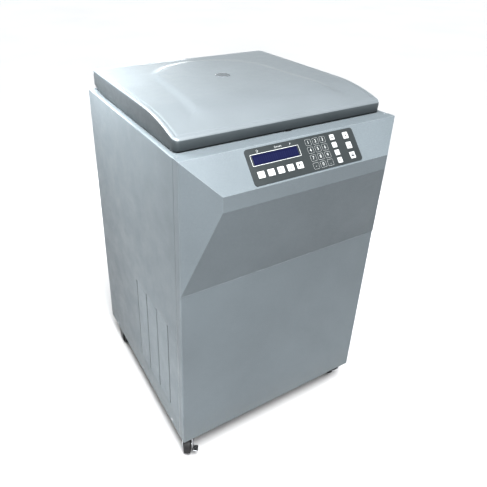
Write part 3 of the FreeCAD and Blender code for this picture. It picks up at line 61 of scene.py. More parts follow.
# ---------------------------------------------------------------- camera, floor and light
def add_camera():
    """A camera left of the front and above the console."""
    spot = (-0.6688, -1.0566, 1.3063)
    azimuth, elevation, roll = math.radians(-28.90), math.radians(27.46), math.radians(0.34)
    away = Vector((math.sin(azimuth) * math.cos(elevation),
                   -math.cos(azimuth) * math.cos(elevation), math.sin(elevation)))
    level = Vector((math.cos(azimuth), math.sin(azimuth), 0))
    upright = away.cross(level)
    right = level * math.cos(roll) + upright * math.sin(roll)
    up = upright * math.cos(roll) - level * math.sin(roll)
    data = bpy.data.cameras.new("camera")
    data.lens, data.sensor_width = 35.62, 36.0
    data.shift_x, data.shift_y = 0.08, -0.11
    camera = add_object("camera", data)
    camera.matrix_world = Matrix.Translation(spot) @ Matrix((right, up, away)).transposed().to_4x4()
    bpy.context.scene.camera = camera


def add_light(kind, name, spot, target, power):
    """A light that shines from a spot towards a target."""
    data = bpy.data.lights.new(name, kind)
    data.energy = power
    light = add_object(name, data)
    light.location = spot
    light.rotation_euler = (Vector(target) - Vector(spot)).to_track_quat("-Z", "Y").to_euler()
    return data


def add_far_light(name, azimuth, elevation, spread, power):
    """Soft light from far away; azimuth runs from the front towards the right."""
    turn, rise, far = math.radians(azimuth), math.radians(elevation), 5
    spot = (far * math.sin(turn) * math.cos(rise), -far * math.cos(turn) * math.cos(rise),
            far * math.sin(rise))
    add_light("SUN", name, spot, (0, 0, 0), power).angle = math.radians(spread)


def add_panel_light(name, spot, target, size, power):
    """A square soft light of the given size."""
    data = add_light("AREA", name, spot, target, power)
    data.shape, data.size = "SQUARE", size


def add_surroundings():
    """A pale haze near the horizon and a dim ceiling above it."""
    world = bpy.data.worlds.new("studio")
    bpy.context.scene.world = world
    world.use_nodes = True
    tree = world.node_tree
    background = tree.nodes["Background"]
    direction = tree.nodes.new("ShaderNodeTexCoord")
    split = tree.nodes.new("ShaderNodeSeparateXYZ")
    tree.links.new(direction.outputs["Generated"], split.inputs["Vector"])
    tree.links.new(add_range(tree, split.outputs["Z"], 0.98, 0.14, 0.08, 0.26), background.inputs["Color"])
    background.inputs["Strength"].default_value = 1.0


def add_floor():
    """A pale floor that runs far past the view."""
    far = 60
    data = bpy.data.meshes.new("floor")
    data.from_pydata([(-far, -far, 0), (far, -far, 0), (far, far, 0), (-far, far, 0)], [], [(0, 1, 2, 3)])
    floor = add_object("floor", data)
    material, tree, shader = start_material("pale_floor")
    shader.inputs["Roughness"].default_value = 0.9
    link_colour(tree, shader, add_noise(tree, 0.8, 2), (0.335, 0.34, 0.344), (0.35, 0.35, 0.354))
    floor.data.materials.append(material)


def add_studio():
    """Everything round the object, and the tones of the view."""
    add_surroundings()
    add_far_light("key", -5, 60, 25, 5.4)
    add_far_light("high_fill", -5, 75, 25, 4.0)
    add_panel_light("left_top", (-0.9, -0.3, 2.0), (-0.2, -0.2, 0.8), 0.8, 21)
    add_panel_light("left_rear", (-0.60, 0.25, 1.25), (-0.3, 0.2, 0.85), 0.3, 10.5)
    add_panel_light("low_left", (-0.80, -0.27, 0.20), (-0.3, -0.2, 0.15), 0.25, 2.5)
    add_panel_light("console", (-0.55, -1.0, 1.1), (-0.2, -0.33, 0.8), 0.4, 5.2)
    add_panel_light("right_side", (1.60, 0.10, 0.70), (0.3, 0.0, 0.5), 0.9, 13)
    add_panel_light("rear_side", (0.20, 1.70, 0.70), (0.0, 0.3, 0.5), 0.9, 13)
    add_floor()
    view = bpy.context.scene.view_settings
    view.view_transform, view.look = "Standard", "None"
    view.exposure, view.gamma = 0.0, 0.7


# ---------------------------------------------------------------- materials
def start_material(name):
    """A new node material: the material, its tree and its principled shader."""
    material = bpy.data.materials.new(name + "_finish")
    material.use_nodes = True
    tree = material.node_tree
    shader = tree.nodes["Principled BSDF"]
    place = tree.nodes.new("ShaderNodeTexCoord")
    place.name = "place"
    return material, tree, shader


def stretched_place(tree, stretch):
    """Object coordinates, scaled apart along X, Y and Z."""
    mapping = tree.nodes.new("ShaderNodeMapping")
    mapping.inputs["Scale"].default_value = stretch
    tree.links.new(tree.nodes["place"].outputs["Object"], mapping.inputs["Vector"])
    return mapping.outputs["Vector"]


def add_noise(tree, scale, detail=3, stretch=(1, 1, 1), roughness=0.55):
    """Noise in object coordinates, from 0 to 1."""
    noise = tree.nodes.new("ShaderNodeTexNoise")
    noise.inputs["Scale"].default_value = scale
    noise.inputs["Detail"].default_value = detail
    noise.inputs["Roughness"].default_value = roughness
    tree.links.new(stretched_place(tree, stretch), noise.inputs["Vector"])
    return noise.outputs["Fac"]


def add_range(tree, value, low, high, start=0.3, end=0.7):
    """value from start to end, remapped to low to high."""
    remap = tree.nodes.new("ShaderNodeMapRange")
    for socket, number in (("From Min", start), ("From Max", end), ("To Min", low), ("To Max", high)):
        remap.inputs[socket].default_value = number
    tree.links.new(value, remap.inputs["Value"])
    return remap.outputs["Result"]


def add_mix(tree, amount, first, second):
    """A colour between two others: each is a tuple or a socket."""
    mix = tree.nodes.new("ShaderNodeMix")
    mix.data_type = "RGBA"
    tree.links.new(amount, mix.inputs["Factor"])
    for index, colour in ((6, first), (7, second)):
        if isinstance(colour, tuple):
            mix.inputs[index].default_value = (*colour, 1)
        else:
            tree.links.new(colour, mix.inputs[index])
    return mix.outputs[2]


def link_colour(tree, shader, value, dark, light, start=0.3, end=0.7):
    """Base colour between two others as value goes from start to end."""
    colour = add_mix(tree, add_range(tree, value, 0, 1, start, end), dark, light)
    tree.links.new(colour, shader.inputs["Base Color"])
    return colour


def add_product(tree, first, second):
    """Two values multiplied."""
    product = tree.nodes.new("ShaderNodeMath")
    product.operation = "MULTIPLY"
    tree.links.new(first, product.inputs[0])
    tree.links.new(second, product.inputs[1])
    return product.outputs["Value"]


def add_bevel(tree, radius):
    """Normals rounded over sharp edges."""
    bevel = tree.nodes.new("ShaderNodeBevel")
    bevel.samples = 4
    bevel.inputs["Radius"].default_value = radius
    return bevel.outputs["Normal"]


def add_bump(tree, shader, height, strength, distance, edge=0.0):
    """Surface relief, on normals that are rounded over a sharp edge of the given radius."""
    bump = tree.nodes.new("ShaderNodeBump")
    bump.inputs["Strength"].default_value = strength
    bump.inputs["Distance"].default_value = distance
    tree.links.new(height, bump.inputs["Height"])
    if edge:
        tree.links.new(add_bevel(tree, edge), bump.inputs["Normal"])
    tree.links.new(bump.outputs["Normal"], shader.inputs["Normal"])


def edge_mask(tree, radius):
    """1 near sharp edges, 0 on open surfaces."""
    plain = tree.nodes.new("ShaderNodeNewGeometry")
    dot = tree.nodes.new("ShaderNodeVectorMath")
    dot.operation = "DOT_PRODUCT"
    tree.links.new(add_bevel(tree, radius), dot.inputs[0])
    tree.links.new(plain.outputs["True Normal"], dot.inputs[1])
    return add_range(tree, dot.outputs["Value"], 1, 0, 0.90, 0.995)


def surface(name, dark, light, roughness, grain=(900, 0.08, 0.0003), metallic=0.0, spread=0.06,
            cloud=7.0, edge=0.0008, edge_wear_and_highlight=None, stretch=(1, 1, 1), coat=0.0, specular=0.5):
    """A general finish: clouded colour, gloss that varies by spread, relief and paler edges from wear.

    grain is the relief's scale, strength and height; cloud is the scale of the colour's patches.
    """
    material, tree, shader = start_material(name)
    for socket, number in (("Metallic", metallic), ("Coat Weight", coat), ("Coat Roughness", 0.15),
                           ("Specular IOR Level", specular)):
        shader.inputs[socket].default_value = number
    colour = link_colour(tree, shader, add_noise(tree, cloud, 5, stretch), dark, light)
    if edge_wear_and_highlight:
        patches = add_range(tree, add_noise(tree, 60), 0.1, 0.9)
        pale_edge_share = add_product(tree, edge_mask(tree, edge * 1.6), patches)
        tree.links.new(add_mix(tree, pale_edge_share, colour, edge_wear_and_highlight), shader.inputs["Base Color"])
    uneven = add_noise(tree, cloud * 4, 6, stretch, 0.7)
    gloss = add_range(tree, uneven, roughness - spread, roughness + spread)
    tree.links.new(gloss, shader.inputs["Roughness"])
    scale, strength, distance = grain
    add_bump(tree, shader, add_noise(tree, scale, 2, stretch), strength, distance, edge)
    return material


def ring_place(tree, middle):
    """Coordinates that change only with height and with distance from a vertical axis."""
    centred = tree.nodes.new("ShaderNodeVectorMath")
    centred.operation = "SUBTRACT"
    centred.inputs[1].default_value = (*middle, 0)
    tree.links.new(tree.nodes["place"].outputs["Object"], centred.inputs[0])
    split = tree.nodes.new("ShaderNodeSeparateXYZ")
    tree.links.new(centred.outputs["Vector"], split.inputs["Vector"])
    flat = tree.nodes.new("ShaderNodeCombineXYZ")
    tree.links.new(split.outputs["X"], flat.inputs["X"])
    tree.links.new(split.outputs["Y"], flat.inputs["Y"])
    radius = tree.nodes.new("ShaderNodeVectorMath")
    radius.operation = "LENGTH"
    tree.links.new(flat.outputs["Vector"], radius.inputs[0])
    ring = tree.nodes.new("ShaderNodeCombineXYZ")
    tree.links.new(radius.outputs["Value"], ring.inputs["X"])
    tree.links.new(split.outputs["Z"], ring.inputs["Z"])
    return ring.outputs["Vector"]


def turned_surface(name, dark, light, roughness, rings):
    """Metal turned on a lathe about the rotor's axis: fine rings in gloss and relief."""
    material, tree, shader = start_material(name)
    shader.inputs["Metallic"].default_value = 1.0
    link_colour(tree, shader, add_noise(tree, 9, 5), dark, light)
    noise = tree.nodes.new("ShaderNodeTexNoise")
    noise.inputs["Scale"].default_value = rings
    noise.inputs["Detail"].default_value = 3
    tree.links.new(ring_place(tree, ROTOR_AXIS), noise.inputs["Vector"])
    gloss = add_range(tree, noise.outputs["Fac"], roughness - 0.09, roughness + 0.09)
    tree.links.new(gloss, shader.inputs["Roughness"])
    add_bump(tree, shader, noise.outputs["Fac"], 0.12, 0.0002, 0.0006)
    return material


def cabinet_paint(name="cabinet_paint", dark=(0.124, 0.142, 0.153), light=(0.137, 0.157, 0.169)):
    """Satin powder coat: fine texture, a little dust low down, and paler sharp edges that are a painted
    highlight.
    """
    edge = 0.0012
    material, tree, shader = start_material(name)
    shader.inputs["Specular IOR Level"].default_value = 0.3
    colour = link_colour(tree, shader, add_noise(tree, 3.2, 6), dark, light, 0.35, 0.65)
    speckle = add_range(tree, add_noise(tree, 1400, 2), 0.0, 0.28, 0.45, 0.75)
    flake = add_mix(tree, speckle, colour, (0.36, 0.38, 0.39))
    height = tree.nodes.new("ShaderNodeSeparateXYZ")
    tree.links.new(tree.nodes["place"].outputs["Object"], height.inputs["Vector"])
    low_down = add_range(tree, height.outputs["Z"], 0.35, 0.0, 0.07, 0.16)
    dust = add_product(tree, low_down, add_range(tree, add_noise(tree, 22, 6), 0.0, 1.0))
    soiled = add_mix(tree, dust, flake, (0.16, 0.165, 0.16))
    # Paler colour along every sharp edge, even all round: a painted edge highlight.
    pale_edge_share = add_range(tree, edge_mask(tree, edge), 0.0, 0.35, 0.2, 1.0)
    edge_wear_and_highlight = add_mix(tree, pale_edge_share, soiled, (0.46, 0.48, 0.49))
    tree.links.new(edge_wear_and_highlight, shader.inputs["Base Color"])
    gloss = add_range(tree, add_noise(tree, 14, 6, (1, 1, 1), 0.7), 0.36, 0.50)
    tree.links.new(gloss, shader.inputs["Roughness"])
    add_bump(tree, shader, add_noise(tree, 1100, 2), 0.10, 0.0003, edge)
    return material


def display_pane():
    """Blank liquid-crystal display: two rows of faint character cells under a glossy pane."""
    material, tree, shader = start_material("display_pane")
    shader.inputs["Specular IOR Level"].default_value = 0.12
    shader.inputs["Roughness"].default_value = 0.2
    cells = tree.nodes.new("ShaderNodeTexBrick")
    cells.offset = 0.0
    for socket, number in (("Color1", (0.017, 0.020, 0.054, 1)), ("Color2", (0.019, 0.022, 0.058, 1)),
                           ("Mortar", (0.013, 0.015, 0.044, 1)), ("Scale", 1), ("Brick Width", 0.0055),
                           ("Row Height", 0.0105), ("Mortar Size", 0.0005)):
        cells.inputs[socket].default_value = number
    tree.links.new(tree.nodes["place"].outputs["Object"], cells.inputs["Vector"])
    tree.links.new(cells.outputs["Color"], shader.inputs["Base Color"])
    add_bump(tree, shader, add_noise(tree, 30), 0.02, 0.0002, 0.0004)
    return material


# ---------------------------------------------------------------- mesh helpers
def make_mesh(name, points, faces, materials, skins=()):
    """A mesh with its materials; skins says which material each face takes."""
    data = bpy.data.meshes.new(name)
    data.from_pydata(points, [], faces)
    for material in materials:
        data.materials.append(material)
    for face, skin in zip(data.polygons, skins):
        face.material_index = skin
    return data


def add_piece(name, data, body, smooth=35):
    """A mesh piece that rides a body; its finish is the material already on its mesh."""
    piece = add_object(name, data)
    tidy_mesh(data, smooth)
    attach(piece, body)
    return piece


def tidy_mesh(data, smooth):
    """Join touching corners, face outwards and shade smooth below the given angle."""
    mesh = bmesh.new()
    mesh.from_mesh(data)
    bmesh.ops.remove_doubles(mesh, verts=mesh.verts, dist=WELD)
    bmesh.ops.recalc_face_normals(mesh, faces=mesh.faces)
    mesh.to_mesh(data)
    mesh.free()
    data.shade_smooth()
    data.set_sharp_from_angle(angle=math.radians(smooth))


def blend_step(value, low, high):
    """Smooth 0 to 1 as value goes from low to high."""
    share = min(max((value - low) / (high - low), 0), 1)
    return share * share * (3 - 2 * share)


def turned_spot(across, down, radius, degrees):
    """A spot on a circle."""
    turn = math.radians(degrees)
    return across + radius * math.cos(turn), down + radius * math.sin(turn)


# ---------------------------------------------------------------- lid
LID_LOW, LID_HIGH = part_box("lid_shell")
LID_X = LID_HIGH[0]
LID_CORNER = 0.014
LID_FRONT, LID_BACK = LID_LOW[1], LID_HIGH[1]
# Where the top skin starts to roll down, its level there, and how far it has fallen at the front edge.
LID_MIDDLE = FRONT + 0.200
LID_CROWN = DECK + 0.059
LID_FALL = 0.028
# The raised tongue: where its rounded rear end starts, half its width there, how much wider each side gets
# per metre towards the front, the length of its rear end, its rise, and how far the skin beside it is sunk.
TONGUE_TURN, TONGUE_HALF, TONGUE_SPREAD, TONGUE_END = 0.090, 0.170, 0.11, 0.155
TONGUE_RISE, LID_SINK = 0.0040, 0.0022
# The shares of the tongue's width that its edge runs between, and its fade behind the lid's front edge.
TONGUE_EDGE, TONGUE_FADE = (0.95, 1.04), (0.010, 0.080)
# The skirt's lower edge: its gap over the deck, its rise near the hinges, and that rise's start and length.
SKIRT_GAP, SKIRT_RISE, SKIRT_TURN, SKIRT_RUN = 0.003, 0.017, 0.500, 0.075
# Places of the lid cover's two materials.
TOP_SKIN, SKIRT_SKIN = 0, 1


def lid_level(x, y):
    """Height of the lid's top skin: an even slope behind, rolled down in front, a raised tongue."""
    if y > LID_MIDDLE:
        level = LID_CROWN + (LID_HIGH[2] - LID_CROWN) * (y - LID_MIDDLE) / (LID_BACK - LID_MIDDLE)
    else:
        share = (LID_MIDDLE - y) / (LID_MIDDLE - LID_FRONT)
        level = LID_CROWN - LID_FALL * share ** 2
    if y < TONGUE_TURN:
        half = TONGUE_HALF + (TONGUE_TURN - y) * TONGUE_SPREAD
        reach = abs(x) / half
    else:
        reach = math.hypot(x / TONGUE_HALF, (y - TONGUE_TURN) / TONGUE_END)
    fade = blend_step(y, LID_FRONT + TONGUE_FADE[0], LID_FRONT + TONGUE_FADE[1])
    return level - LID_SINK + TONGUE_RISE * (1 - blend_step(reach, *TONGUE_EDGE)) * fade


def skirt_level(_, y):
    """Height of the skirt's lower edge: just over the deck, higher near the hinges."""
    return DECK + SKIRT_GAP + SKIRT_RISE * min(max((y - FRONT - SKIRT_TURN) / SKIRT_RUN, 0), 1)


def lid_profile():
    """The lid's section, from inside the skirt round the rim to the middle of the top.

    Each entry is the inset from the lid's plan, the level it is measured from, its rise and its skin.
    """
    wall, rim = 0.003, 0.007
    profile = [(wall, lid_level, -0.006, SKIRT_SKIN), (wall, skirt_level, 0.001, SKIRT_SKIN),
               (0.001, skirt_level, 0.0, SKIRT_SKIN), (0.0, skirt_level, 0.002, SKIRT_SKIN),
               (0.0, lid_level, -rim - 0.003, SKIRT_SKIN)]
    for step, turn in enumerate(QUARTER_TURN[1:], 1):
        skin = SKIRT_SKIN if step < 3 else TOP_SKIN
        profile.append((rim * (1 - math.cos(turn)), lid_level, -rim * (1 - math.sin(turn)), skin))
    for inset, depth in ((0.0092, 0.0), (0.0100, 0.0006), (0.0112, 0.0006), (0.0120, 0.0)):
        profile.append((inset, lid_level, -depth, TOP_SKIN))
    profile += [(0.018 + 0.0085 * step, lid_level, 0.0, TOP_SKIN) for step in range(30)]
    return profile


def rounded_ring(inset, corner, side_steps=26, corner_steps=6):
    """Corners of a rounded rectangle inside the lid's plan."""
    x, y_low, y_high = LID_X - inset, LID_FRONT + inset, LID_BACK - inset
    ring = []
    centres = ((x - corner, y_low + corner, -90), (x - corner, y_high - corner, 0),
               (-x + corner, y_high - corner, 90), (-x + corner, y_low + corner, 180))
    for index, (cx, cy, start) in enumerate(centres):
        ring += [turned_spot(cx, cy, corner, start + 90 * step / corner_steps)
                 for step in range(corner_steps + 1)]
        next_x, next_y, next_start = centres[(index + 1) % 4]
        last, goal = ring[-1], turned_spot(next_x, next_y, corner, next_start)
        for step in range(1, side_steps):
            share = step / side_steps
            ring.append((last[0] + (goal[0] - last[0]) * share, last[1] + (goal[1] - last[1]) * share))
    return ring


def make_lid(top_skin, skirt_skin):
    """Moulded lid shell: dark skirt, rolled rim with a fine line inside it, raised tongue."""
    profile = lid_profile()
    points, faces, skins = [], [], []
    span = len(rounded_ring(0.0, LID_CORNER))
    for inset, level, rise, _ in profile:
        for x, y in rounded_ring(inset, max(LID_CORNER - inset, 0.004)):
            points.append((x, y, level(x, y) + rise))
    for ring in range(1, len(profile)):
        outer, inner = (ring - 1) * span, ring * span
        for step in range(span):
            after = (step + 1) % span
            faces.append((outer + step, outer + after, inner + after, inner + step))
            skins.append(profile[ring][3])
    faces.append(tuple(range((len(profile) - 1) * span, len(profile) * span)))
    skins.append(TOP_SKIN)
    data = make_mesh("lid_cover", points, faces, (top_skin, skirt_skin), skins)
    lid = add_piece("lid_cover", data, "lid", 40)
    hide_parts("lid_shell")


# ---------------------------------------------------------------- perforated side panels
PANEL_SHEET, PANEL_ROLL, PANEL_FLANGE = 0.0015, 0.003, 0.012
# Large holes: the front column, the lowest row, the columns' spacing and their number.
VENT_FRONT, VENT_LOW, VENT_PITCH, VENT_COLUMNS = FRONT + 0.082, 0.148, 0.070, 4
# Rows in a column, their spacing, half the side of a hole's square of sheet, and the hole's radius.
VENT_ROWS, ROW_PITCH, LARGE, LARGE_HOLE = 29, 0.010, 0.005, 0.0041
# Spacing and radius of the fine holes between the columns.
FINE, FINE_HOLE = 0.005, 0.0012
VENT_Y = (VENT_FRONT - LARGE, VENT_FRONT + VENT_PITCH * (VENT_COLUMNS - 1) + LARGE)
VENT_Z = (VENT_LOW - LARGE, VENT_LOW + ROW_PITCH * (VENT_ROWS - 1) + LARGE)


def square_cell(points, faces, middle, half, hole, place):
    """A square of sheet with an eight-sided hole; no hole leaves it plain."""
    y, z = middle
    rim = [(-1, -1), (0, -1), (1, -1), (1, 0), (1, 1), (0, 1), (-1, 1), (-1, 0)]
    first = len(points)
    points += [place(y + half[0] * a, z + half[1] * b) for a, b in rim]
    if not hole:
        faces.append(tuple(range(first, first + 8)))
        return
    for a, b in rim:
        length = math.hypot(a, b)
        points.append(place(y + hole * a / length, z + hole * b / length))
    for step in range(8):
        after = (step + 1) % 8
        faces.append((first + step, first + after, first + 8 + after, first + 8 + step))


def vent_cells(points, faces, place):
    """Columns of large holes, then the finely perforated bands; returns where the bands start."""
    for column in range(VENT_COLUMNS):
        y = VENT_FRONT + VENT_PITCH * column
        for row in range(VENT_ROWS):
            square_cell(points, faces, (y, VENT_LOW + ROW_PITCH * row), (LARGE, LARGE), LARGE_HOLE, place)
    first_band = len(faces)
    across = round((VENT_PITCH - LARGE * 2) / FINE)
    for band in range(VENT_COLUMNS - 1):
        start = VENT_FRONT + VENT_PITCH * band + LARGE
        for row in range(VENT_ROWS * 2):
            z = VENT_Z[0] + FINE * (row + 0.5)
            shifted = row % 2 == 1
            if shifted:
                middles = [start + FINE * step for step in range(1, across)]
            else:
                middles = [start + FINE * (step + 0.5) for step in range(across)]
            for y in middles:
                square_cell(points, faces, (y, z), (FINE / 2, FINE / 2), FINE_HOLE, place)
            if shifted:
                for y in (start + FINE / 4, start + FINE * (across - 0.25)):
                    square_cell(points, faces, (y, z), (FINE / 4, FINE / 2), 0, place)
    return first_band


def add_quad(points, faces, *corners):
    """One four-cornered face with its own points."""
    first = len(points)
    points.extend(corners)
    faces.append((first, first + 1, first + 2, first + 3))


def add_plain_sheet(points, faces, low, high, place):
    """The flat sheet below, before, behind and above the vent."""
    start, flat_top = low[1] + PANEL_ROLL, high[2] - PANEL_ROLL
    for y0, y1, z0, z1 in ((start, high[1], low[2], VENT_Z[0]), (start, VENT_Y[0], *VENT_Z),
                           (VENT_Y[1], high[1], *VENT_Z), (start, high[1], VENT_Z[1], flat_top)):
        add_quad(points, faces, place(y0, z0), place(y1, z0), place(y1, z1), place(y0, z1))


def add_rolled_edges(points, faces, low, high, outer, side):
    """Rolled front and top edges, each with a flange turned inwards."""
    start, flat_top = low[1] + PANEL_ROLL, high[2] - PANEL_ROLL
    inner, tip = outer - side * PANEL_ROLL, outer - side * PANEL_FLANGE
    # Spots round the outline seen from above, each with the direction that the roll bulges in there.
    path = [(tip, start, 0, -1)]
    path += [(inner, start, side * math.sin(turn), -math.cos(turn)) for turn in QUARTER_TURN]
    path.append((inner, high[1], side, 0))
    # Up the side: the share of the full bulge, and the height.
    rows = [(1, low[2])]
    rows += [(math.cos(turn), flat_top + PANEL_ROLL * math.sin(turn)) for turn in QUARTER_TURN]

    def rolled(spot, row):
        x, y, across, along = spot
        return (x + PANEL_ROLL * across * row[0], y + PANEL_ROLL * along * row[0], row[1])
    for row, next_row in zip(rows, rows[1:]):
        for spot, next_spot in zip(path, path[1:]):
            if row is not rows[0] or next_spot is not path[-1]:
                add_quad(points, faces, rolled(spot, row), rolled(next_spot, row),
                         rolled(next_spot, next_row), rolled(spot, next_row))
    add_quad(points, faces, (inner, start, high[2]), (inner, high[1], high[2]), (tip, high[1], high[2]),
             (tip, start, high[2]))


def weld_panel(data):
    """Join touching corners, keep the flat faces flat and shade the rolled ones smooth."""
    mesh = bmesh.new()
    mesh.from_mesh(data)
    bmesh.ops.remove_doubles(mesh, verts=mesh.verts, dist=WELD)
    for face in mesh.faces:
        face.normal_update()
    mesh.to_mesh(data)
    mesh.free()
    for face in data.polygons:
        face.use_smooth = max(abs(part) for part in face.normal) < 0.995


def make_side_panel(node, side, plain_paint, band_painted_highlight):
    """Folded side skin: flat sheet with its vent, rolled top and front edges, inward flanges."""
    low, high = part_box(node)
    outer = high[0] if side > 0 else low[0]
    points, faces = [], []

    def place(y, z):
        return (outer, y, z)
    first_band = vent_cells(points, faces, place)
    bands = range(first_band, len(faces))
    add_plain_sheet(points, faces, low, high, place)
    add_rolled_edges(points, faces, low, high, outer, side)
    if side > 0:
        faces = [tuple(reversed(face)) for face in faces]
    skins = [1 if index in bands else 0 for index in range(len(faces))]
    data = make_mesh(node + "_skin", points, faces, (plain_paint, band_painted_highlight), skins)
    panel = add_object(node + "_skin", data)
    weld_panel(data)
    sheet = panel.modifiers.new("sheet", "SOLIDIFY")
    sheet.thickness, sheet.offset = PANEL_SHEET, 1.0
    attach(panel, "root")
    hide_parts(node)


# ---------------------------------------------------------------- console print and key symbols
# The sloping key face: its directions downwards and outwards, its top edge, and the print's thickness.
SLOPE_DOWN = Vector((0, -0.058, -0.069)).normalized()
SLOPE_OUT = Vector((0, -0.069, 0.058)).normalized()
SLOPE_TOP = Vector((0, FRONT, DECK))
PRINT_LIFT = 0.00012


def slope_lift(node):
    """How far a node's outermost face stands off the sloping key face."""
    return max((vertex.co - SLOPE_TOP).dot(SLOPE_OUT) for vertex in NODES[node].data.vertices)


def key_middle(node):
    """A key's middle across and down the slope."""
    spots = [vertex.co - SLOPE_TOP for vertex in NODES[node].data.vertices]
    across = [spot.x for spot in spots]
    down = [spot.dot(SLOPE_DOWN) for spot in spots]
    return (min(across) + max(across)) / 2, (min(down) + max(down)) / 2


class Print:
    """Flat printed shapes on the slope, gathered into one mesh."""

    def __init__(self, lift):
        self.lift, self.points, self.faces = lift + PRINT_LIFT, [], []

    def add(self, corners, faces):
        """Corners across and down the slope, and the faces between them."""
        first = len(self.points)
        for across, down in corners:
            spot = SLOPE_TOP + Vector((across, 0, 0)) + SLOPE_DOWN * down + SLOPE_OUT * self.lift
            self.points.append(tuple(spot))
        self.faces += [tuple(first + index for index in face) for face in faces]

    def fill(self, corners):
        """A filled outline."""
        self.add(corners, [tuple(range(len(corners)))])

    def band(self, outer, inner):
        """The strip between two closed outlines."""
        span = len(outer)
        self.add(outer + inner, [(step, (step + 1) % span, span + (step + 1) % span, span + step)
                                 for step in range(span)])

    def frame(self, across, down, wide, high, line, corner):
        """The outline of a rounded box, with lines of the given width."""
        self.band(rounded_box(across, down, wide, high, corner),
                  rounded_box(across, down, wide - line * 2, high - line * 2, max(corner - line, 0.0002)))

    def bar(self, start, end, thick):
        """A straight line between two spots."""
        (x0, y0), (x1, y1) = start, end
        length = math.hypot(x1 - x0, y1 - y0)
        nx, ny = (y0 - y1) / length * thick / 2, (x1 - x0) / length * thick / 2
        self.fill([(x0 + nx, y0 + ny), (x1 + nx, y1 + ny), (x1 - nx, y1 - ny), (x0 - nx, y0 - ny)])

    def circle(self, across, down, radius, line, steps=28):
        """A ring with the given outer radius."""
        outer = [turned_spot(across, down, radius, 360 * step / steps) for step in range(steps)]
        inner = [turned_spot(across, down, radius - line, 360 * step / steps) for step in range(steps)]
        self.band(outer, inner)

    def text(self, words, across, down, tall):
        """Generic characters, centred on a spot."""
        curve = bpy.data.curves.new("print_text", "FONT")
        curve.body, curve.size = words, tall
        curve.align_x, curve.align_y = "CENTER", "CENTER"
        curve.offset = tall * 0.012
        shape = bpy.data.objects.new("print_text", curve)
        data = bpy.data.meshes.new_from_object(shape)
        self.add([(across + vertex.co.x, down - vertex.co.y) for vertex in data.vertices],
                 [tuple(face.vertices) for face in data.polygons])
        bpy.data.meshes.remove(data)
        bpy.data.objects.remove(shape)
        bpy.data.curves.remove(curve)

    def finish(self, name, body, material):
        """The gathered print as one piece."""
        add_piece(name, make_mesh(name, self.points, self.faces, [material]), body)


def rounded_box(across, down, wide, high, corner, steps=5):
    """Corners of a rounded rectangle in slope coordinates."""
    spots = []
    for sx, sy, start in ((1, -1, -90), (1, 1, 0), (-1, 1, 90), (-1, -1, 180)):
        cx, cy = across + sx * (wide / 2 - corner), down + sy * (high / 2 - corner)
        spots += [turned_spot(cx, cy, corner, start + 90 * step / steps) for step in range(steps + 1)]
    return spots


def add_number_keys(marks):
    """Four rows of three framed number keys."""
    (first_across, first_down), (pitch_across, pitch_down) = (0.016, 0.0185), (0.0205, 0.0185)
    wide, high, line, corner, tall = 0.0158, 0.0148, 0.0005, 0.0022, 0.0105
    for row, words in enumerate(("123", "456", "789", "-0.")):
        for column, word in enumerate(words):
            across, down = first_across + pitch_across * column, first_down + pitch_down * row
            marks.frame(across, down, wide, high, line, corner)
            marks.text(word, across, down, tall)


def add_display_print(marks):
    """The frame round the display, and a dial, a circle, four bars and a flag above it."""
    spots = [vertex.co - SLOPE_TOP for vertex in NODES["display_window"].data.vertices]
    wide = max(spot.x for spot in spots) - min(spot.x for spot in spots)
    middle, down = key_middle("display_window")
    margin, high, line, corner = 0.0042, 0.0262, 0.0013, 0.0022
    marks.frame(middle, down, wide + margin, high, line, corner)
    dial, circle, bars, flag, row = middle - 0.043, middle + 0.004, middle + 0.009, middle + 0.043, 0.0125
    marks.circle(dial, row, 0.0027, 0.0007)
    marks.bar((dial, row), (dial + 0.0015, 0.0117), 0.0005)
    marks.circle(circle, row, 0.0024, 0.0007)
    for step in range(4):
        x = bars + 0.0036 * step
        marks.bar((x, 0.0110), (x, 0.0140), 0.0014)
    marks.bar((flag, 0.0100), (flag, 0.0152), 0.0008)
    marks.bar((flag, 0.0104), (flag + 0.0035, 0.0117), 0.0010)


def make_overlay_print(white):
    """The white print on the key film."""
    marks = Print(slope_lift("keypad_overlay"))
    add_number_keys(marks)
    add_display_print(marks)
    marks.finish("overlay_print", "root", white)


